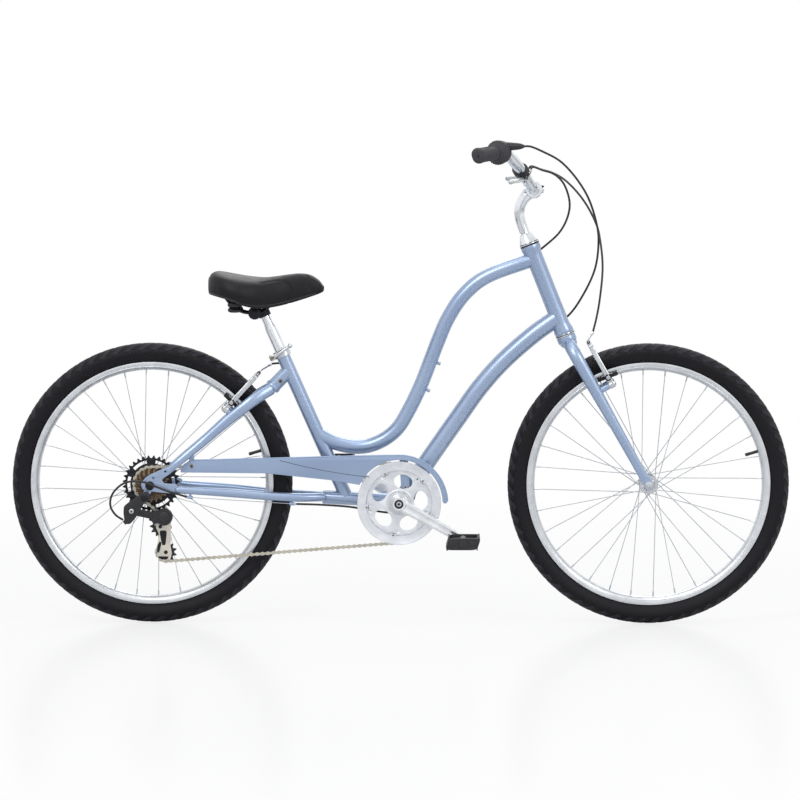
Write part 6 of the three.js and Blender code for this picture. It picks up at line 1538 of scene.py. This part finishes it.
post_rows = [(12, -216), (13.6, -214), (13.6, 60), (13.3, 62), (11, 74), (11, 114)]
piece("seat_post_dressed", "seat", "chrome", [turned(post_rows, CHROME, SEAT_TOP, SEAT_UP, 56)], "seat_post")
drum = at(-0.2911, 0.3442)
socket_foot = SEAT_TOP + SEAT_UP * 92
drum_half = [(10, -28), (13, -27), (13, -22.5), (8, -21.5), (8, -15), (10.5, -14)]
grip_parts = [
    turned([(11.3, 0), (14.8, 0), (14.8, 20), (11.3, 20)], BLACK_STEEL, socket_foot, SEAT_UP, 48, True, 0.6),
    turned(both_ends(drum_half), BLACK_STEEL, drum, Y, 44),
]
for way in (-1, 1):
    grip_parts.append(
        turned([(15, 22.5), (15.4, 24), (15.4, 27), (13.5, 28.4)], BLACK_STEEL, drum, Y * way, 44)
    )
    grip_parts.append(turned([(6.2, 28), (6.2, 31)], BLACK_STEEL, drum, Y * way, 6, soften=0.5))
piece("saddle_clamp_dressed", "seat", "black_steel", grip_parts, "saddle_clamp")

SADDLE = at(-0.3866, 0.3519)
SADDLE_HEEL, SADDLE_LENGTH, SADDLE_RISE, SADDLE_HALF = 6, 264, 80, 113
SADDLE_ROWS = [
    (0, 0.94, 0.47, 0.5), (0.02, 1.03, 0.44, 0.62), (0.06, 1.07, 0.41, 0.76), (0.12, 1.05, 0.36, 0.9),
    (0.2, 1, 0.29, 0.98),
    (0.3, 0.94, 0.15, 0.98), (0.4, 0.9, 0.07, 0.87), (0.5, 0.89, 0.055, 0.68), (0.6, 0.93, 0.095, 0.5),
    (0.7, 0.98, 0.17, 0.38),
    (0.8, 1.01, 0.265, 0.31), (0.89, 0.97, 0.36, 0.26), (0.96, 0.84, 0.44, 0.21),
    (0.985, 0.75, 0.475, 0.17), (1, 0.68, 0.5, 0.12),
]
CROWN = [
    (0, 0.01), (0.35, -0.03), (0.68, 0.05), (0.88, 0.18), (0.97, 0.4), (1, 0.65), (0.96, 0.87), (0.85, 1),
]


def eased(rows, t):
    """A smooth value between rows of place and value."""
    i = max(0, min(len(rows) - 2, sum(1 for row in rows if row[0] <= t) - 1))
    a, b = rows[i], rows[i + 1]
    before, after = rows[max(i - 1, 0)], rows[min(i + 2, len(rows) - 1)]
    u = (t - a[0]) / (b[0] - a[0])
    ma = (b[1] - before[1]) / max(1e-6, b[0] - before[0]) * (b[0] - a[0])
    mb = (after[1] - a[1]) / max(1e-6, after[0] - a[0]) * (b[0] - a[0])
    square, cube = u * u, u ** 3
    level = (2 * cube - 3 * square + 1) * a[1] + (3 * square - 2 * cube) * b[1]
    return level + (cube - 2 * square + u) * ma + (cube - square) * mb


def saddle_row(t):
    """The heights of the top and the skirt and the half width, at a share of the length."""
    return [eased([(row[0], row[k]) for row in SADDLE_ROWS], t) for k in (1, 2, 3)]


def on_saddle(t, across, height):
    """A place given as shares of the saddle's length, half width and rise."""
    x = SADDLE.x + SADDLE_HEEL + t * SADDLE_LENGTH
    return Vector((x, across * SADDLE_HALF, SADDLE.z + height * SADDLE_RISE))


crown_lengths = [0.0]
for a, b in zip(CROWN, CROWN[1:]):
    crown_lengths.append(crown_lengths[-1] + math.hypot(b[0] - a[0], (b[1] - a[1]) * 0.6))
crown_shares = [length / crown_lengths[-1] for length in crown_lengths]
crown_rows = [[(share, point[k]) for share, point in zip(crown_shares, CROWN)] for k in (0, 1)]


def saddle_ring(t):
    """One section of the cover, round from the middle of its top and in under its skirt."""
    top, skirt, half = saddle_row(t)
    side = []
    for i in range(25):
        across, drop = (eased(rows, i / 24) for rows in crown_rows)
        side.append(on_saddle(t, across * half, top - drop * (top - skirt)))
    return [*[flip(spot) for spot in side], *side[:0:-1]]


def closing(ring, way):
    """Two smaller rings beyond an end of the cover, which round it off."""
    centre = sum(ring, Vector()) / len(ring)
    steps = ((0.35, 2.6), (0.8, 1.8))
    return [[centre + (p - centre) * share - X * way * bulge for p in ring] for share, bulge in steps]


places = [0, 0.006, 0.016, *[0.03 + 0.94 * i / 64 for i in range(65)], 0.984, 0.994, 1]
cover_rings = [saddle_ring(t) for t in places]
tail_rings, nose_rings = closing(cover_rings[0], 1), closing(cover_rings[-1], -1)
cover = lofted([*tail_rings, *cover_rings, *reversed(nose_rings)], VINYL, angle=80)


def groove(piece, lines, width, depth):
    """Presses the surface in along some lines, as a sewn seam does."""
    for vertex in piece.data.vertices:
        near = min((vertex.co - p).length for line in lines for p in line)
        if near < width:
            pull = (1 - near / width) ** 2 * (1 + 2 * near / width)
            vertex.co -= vertex.normal * depth * pull


def on_cover(tree, points, side):
    """Side view points dropped sideways onto the cover."""
    landed = []
    for x, z in points:
        hit, normal, _, _ = tree.ray_cast(Vector((x, side * 200, z)), Vector((0, -side, 0)))
        if hit:
            landed.append((hit, normal))
    return landed


def seam_points(rows):
    """Even steps along a seam, given in mm ahead of and above the foot of the saddle's heel."""
    return [tuple(p.xz) for p in spline([SADDLE + Vector((x, 0, z)) for x, z in rows], 60)]


LONG_SEAM = [
    (127.88, 63.16), (148.88, 66.43), (174.55, 67.83), (188.55, 62.23), (194.62, 51.49), (196.02, 35.16),
    (192.29, 16.49),
]
NOSE_SEAM = [(232.82, 78.68), (237.03, 71.66), (239.84, 59.96), (240.3, 45.92)]
edited(cover)
bpy.ops.mesh.subdivide(number_cuts=1, smoothness=0)
select_only(cover)
tree = BVHTree.FromPolygons([v.co for v in cover.data.vertices], [p.vertices for p in cover.data.polygons])
seams = [on_cover(tree, seam_points(rows), side) for rows in (LONG_SEAM, NOSE_SEAM) for side in (-1, 1)]
groove(cover, [[hit for hit, _ in seam] for seam in seams], 5.5, 1.9)
cover = finished(cover, VINYL, angle=80)
tree = BVHTree.FromPolygons([v.co for v in cover.data.vertices], [p.vertices for p in cover.data.polygons])
stitching = []
for seam in seams:
    for offset in (-1.9, 1.9):
        travelled = 0.0
        for (hit, normal), (after, _) in zip(seam, seam[1:]):
            travelled += (after - hit).length
            if travelled < 4.6:
                continue
            travelled = 0.0
            along_seam = (after - hit).normalized()
            aside = along_seam.cross(normal).normalized()
            spot, face_normal, _, _ = tree.find_nearest(hit + aside * offset)
            raised = spot + face_normal * 0.2
            stitching.append(rod(raised - along_seam * 1.6, raised + along_seam * 1.6, 0.7, HOUSING, 6))
piping = []
for side in (-1, 1):
    edge_line = []
    for i in range(61):
        t = 0.02 + 0.92 * i / 60
        top, skirt, half = saddle_row(t)
        edge_line.append(on_saddle(t, side * half * 0.93, top - 0.9 * (top - skirt)))
    piping.append(tube(edge_line, 1.5, HOUSING, 90, 3))
cushion = piece("saddle_cover_dressed", "seat", "saddle_vinyl", [cover, *stitching, *piping], "saddle_cover")

RAIL_ROWS = [
    (-0.3605, 0.3935, 1.9), (-0.34, 0.364, 1.5), (-0.316, 0.3465, 1.02), (-0.2911, 0.3442, 1),
    (-0.276, 0.3452, 1), (-0.263, 0.3565, 0.95), (-0.245, 0.3675, 0.8), (-0.222, 0.379, 0.55),
    (-0.2, 0.392, 0.35),
]
base_parts = []
for side in (-1, 1):
    base_parts.append(tube([at(x, z, side * wide * 22) for x, z, wide in RAIL_ROWS], 3.5, BLACK_STEEL, 60, 4))
    foot = at(-0.331, 0.347, side * 28.6)
    lobes = [
        (10, -2), (15, 0), (16.5, 4), (15, 8), (12.5, 10), (15.5, 12), (17, 16), (16, 20), (9, 23),
        (8, 44),
    ]
    base_parts.append(turned(lobes, PLASTIC, foot, Z, 40))
pan_rings = []
for share, top, skirt, width in SADDLE_ROWS[2:-2]:
    middle_height = SADDLE.z + SADDLE_RISE * (skirt + (top - skirt) * 0.5)
    half = width * SADDLE_HALF * 0.84 - 9
    section = ((-half, -5), (-half, -1), (half, -1), (half, -5))
    pan_rings.append([(SADDLE.x + share * 270, y, middle_height + z) for y, z in section])
base_parts.append(finished(lofted(pan_rings, PLASTIC), PLASTIC, 1))
piece("saddle_base_dressed", "seat", "black_plastic", base_parts, "saddle_base")


# Cables
def cable_points(rows):
    return [Vector(row) for row in rows]


def lead(root, end):
    """The start of a cable, straight out of the end of its part."""
    return [end, end + (end - root).normalized() * 12]


shift_route = [*[flip(p) for p in lead(snout_root, shifter_exit)], *cable_points([
    (327, -190, 1109), (373, -165, 1083), (429, -115, 1014), (456, -70, 943), (462, -45, 900),
    (455, -15, 834), (424, 16, 764),
    (396, 33, 724), (360, 34, 697), (321, 24, 671), (283, 22, 643), (250, 22, 611), (196, 22, 550),
    (149, 22, 484), (108, 22, 426),
    (69, 22, 369), (43, 22, 322), (30, 19.5, 286), (20, 14.5, 265), (2, 8, 259.5), (-30, -6, 261),
    (-70, -18, 268),
    (-117, -24, 276), (-180, -32, 281.5),
]), STOP_A + STOP_WAY * 6.8]
rear_route = [*[flip(p) for p in lead(LEVER_PIVOT, CABLE_EXIT)], *cable_points([
    (330, -92, 1065), (357, -75, 1056), (380, -55, 1034), (395, -30, 990), (391, -8, 955), (373, 12, 919),
    (334, 33, 882),
    (296, 27, 854), (250, 21, 835), (197, 20.4, 812), (147.6, 20.4, 771), (111, 20.4, 716),
    (89, 20.4, 664), (65, 20.4, 601),
    (49, 20.4, 561), (21, 20.4, 502), (-5, 20.4, 460), (-36, 20.4, 434), (-71, 20.4, 419),
    (-101, 20.4, 415.3),
    (-130, 20.4, 419), (-160, 20.6, 430), (-188, 20.4, 455), (-208, 19.8, 490), (-228, 19.8, 532),
    (-248, 20, 575),
    (-262, 20.5, 599), (-280, 20, 610), (-302, 28, 609),
])]
front_route = [*lead(LEVER_PIVOT, CABLE_EXIT), *cable_points([
    (331, 92, 1065), (358, 76, 1057), (387, 60, 1040), (429, 35, 994), (460, 12, 935), (468, 0, 898),
    (473, -15, 839),
    (466, -28, 763), (458, -34, 719), (450, -39, 688),
])]
derailleur_route = cable_points([
    (-512, -74, 309), (-531, -82, 315), (-567.5, -92, 330), (-593, -93.5, 340), (-619, -92.5, 342.3),
    (-640.5, -92, 337.7),
    (-659.5, -91, 323.5), (-671.6, -89, 304.2), (-673, -87, 282.6), (-662.5, -84, 263.5), (-650, -82, 254),
])


def with_noodle(route, pivot, up, side, count):
    """A brake cable: its housing, the steel noodle over the arm with a chromed ferrule, the boot and the bare
    wire.
    """
    over = pivot + up * 110.8
    near, far = over + Y * side * PIVOT_SIDE, over - Y * side * PIVOT_SIDE
    inner, bend = near.lerp(far, 0.2), near + up * 5
    last = route[-1]
    housing = tube(route, 2.5, HOUSING, count, 4)
    noodle = tube([last, last.lerp(bend, 0.55), bend, inner], 1.9, STEEL, 24, 4)
    ferrule = rod(last - (bend - last) * 0.04, last.lerp(bend, 0.3), 3.3, CHROME, 20, 0.5)
    boot_route = [inner, inner.lerp(far, 0.2), inner.lerp(far, 0.42)]
    boot = oval(boot_route, [3.4, 4.4, 2.2], [3.4, 4.4, 2.2], GRIP, side=X)
    wire = rod(inner, far, 1, STEEL, 10)
    return [housing, noodle, ferrule, boot, wire]


shift_parts = [
    tube(shift_route, 2.5, HOUSING, 220, 4),
    rod(STOP_A + STOP_WAY * 5, STOP_A + STOP_WAY * 11, 3, STEEL, 20, 0.4),
]
shift_cable = piece("shift_cable_dressed", None, "cable_housing", shift_parts, "shift_cable")
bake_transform(shift_cable)
rear_parts = with_noodle(rear_route, REAR_PIVOT, REAR_ARM_UP, 1, 240)
rear_cable = piece("rear_brake_cable_dressed", None, "cable_housing", rear_parts, "rear_brake_cable")
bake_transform(rear_cable)
front_parts = with_noodle(front_route, FRONT_PIVOT, FRONT_ARM_UP, -1, 120)
piece("front_brake_cable_dressed", "steering", "cable_housing", front_parts, "front_brake_cable")
cable_end = BARREL + (derailleur_route[-1] - BARREL).normalized() * 9
start = STOP_B - STOP_WAY * 6.8
derailleur_parts = [
    rod(STOP_A, STOP_B, 0.9, STEEL, 10),
    tube([start, *derailleur_route, cable_end], 2.5, HOUSING, 90, 4),
    rod(start + STOP_WAY * 2, start - STOP_WAY * 5, 3, STEEL, 20, 0.4),
]
piece("derailleur_cable_dressed", "frame", "cable_housing", derailleur_parts, "derailleur_cable")


# Studio: a pale floor, a white backdrop, soft light and the camera
def studio():
    select_only()
    bpy.ops.mesh.primitive_plane_add(size=60, location=(0, 0, -0.0005))
    floor = bpy.context.object
    floor.name = "floor"
    ground = Finish("pale floor", "f4f4f4", 0.22, **{"Specular IOR Level": 0.35})
    seen = ground.add("ShaderNodeLightPath", {}, {}, output=0)
    far = ground.add("ShaderNodeVectorMath", {"operation": "LENGTH"}, {0: ground.place()}, output=1)
    glow = ground.add("ShaderNodeEmission", {}, {"Color": (1, 1, 1, 1), "Strength": 1.0})
    surface = Signal(ground, ground.shader.outputs[0])
    blend = (far.above(1.2, 2.0) * 0.25 + 0.75) * seen
    mixed = ground.add("ShaderNodeMixShader", {}, {0: blend, 1: surface, 2: glow})
    ground.tree.links.new(mixed.socket, ground.tree.nodes["Material Output"].inputs[0])
    floor.data.materials.append(ground.material)

    world = bpy.data.worlds.new("studio")
    bpy.context.scene.world = world
    world.use_nodes = True
    nodes, links = world.node_tree.nodes, world.node_tree.links
    back = nodes["Background"]
    path = nodes.new("ShaderNodeLightPath")
    white = nodes.new("ShaderNodeBackground")
    white.inputs[0].default_value = (1, 1, 1, 1)
    white.inputs[1].default_value = 1.0
    back.inputs[0].default_value = (0.93, 0.95, 1, 1)
    back.inputs[1].default_value = 0.42
    mix = nodes.new("ShaderNodeMixShader")
    seen_white = nodes.new("ShaderNodeMath")
    seen_white.operation = "MAXIMUM"
    links.new(path.outputs["Is Camera Ray"], seen_white.inputs[0])
    links.new(path.outputs["Is Glossy Ray"], seen_white.inputs[1])
    links.new(seen_white.outputs[0], mix.inputs[0])
    links.new(back.outputs[0], mix.inputs[1])
    links.new(white.outputs[0], mix.inputs[2])
    links.new(mix.outputs[0], nodes["World Output"].inputs[0])

    lamps = [
        ((-1.6, -3.2, 3.6), 2.2, 62), ((2.6, -2.4, 2.6), 1.6, 30), ((0.4, 3.0, 3.0), 2.6, 40),
        ((0, -0.6, 4.4), 2.4, 24),
    ]
    for place, size, power in lamps:
        bpy.ops.object.light_add(type="AREA", location=place)
        lamp = bpy.context.object
        lamp.data.size = size
        lamp.data.energy = power
        aim = Vector((0, 0, 0.45)) - Vector(place)
        lamp.rotation_euler = aim.to_track_quat("-Z", "Y").to_euler()

    turn = (math.radians(90 - 4.45), 0, math.radians(1.074))
    bpy.ops.object.camera_add(location=(0.15, -8, 1.1485), rotation=turn)
    camera = bpy.context.object
    camera.data.sensor_width = 36
    camera.data.lens = 153.9
    camera.data.clip_end = 200
    bpy.context.scene.camera = camera
    bpy.context.scene.view_settings.view_transform = "Standard"


studio()
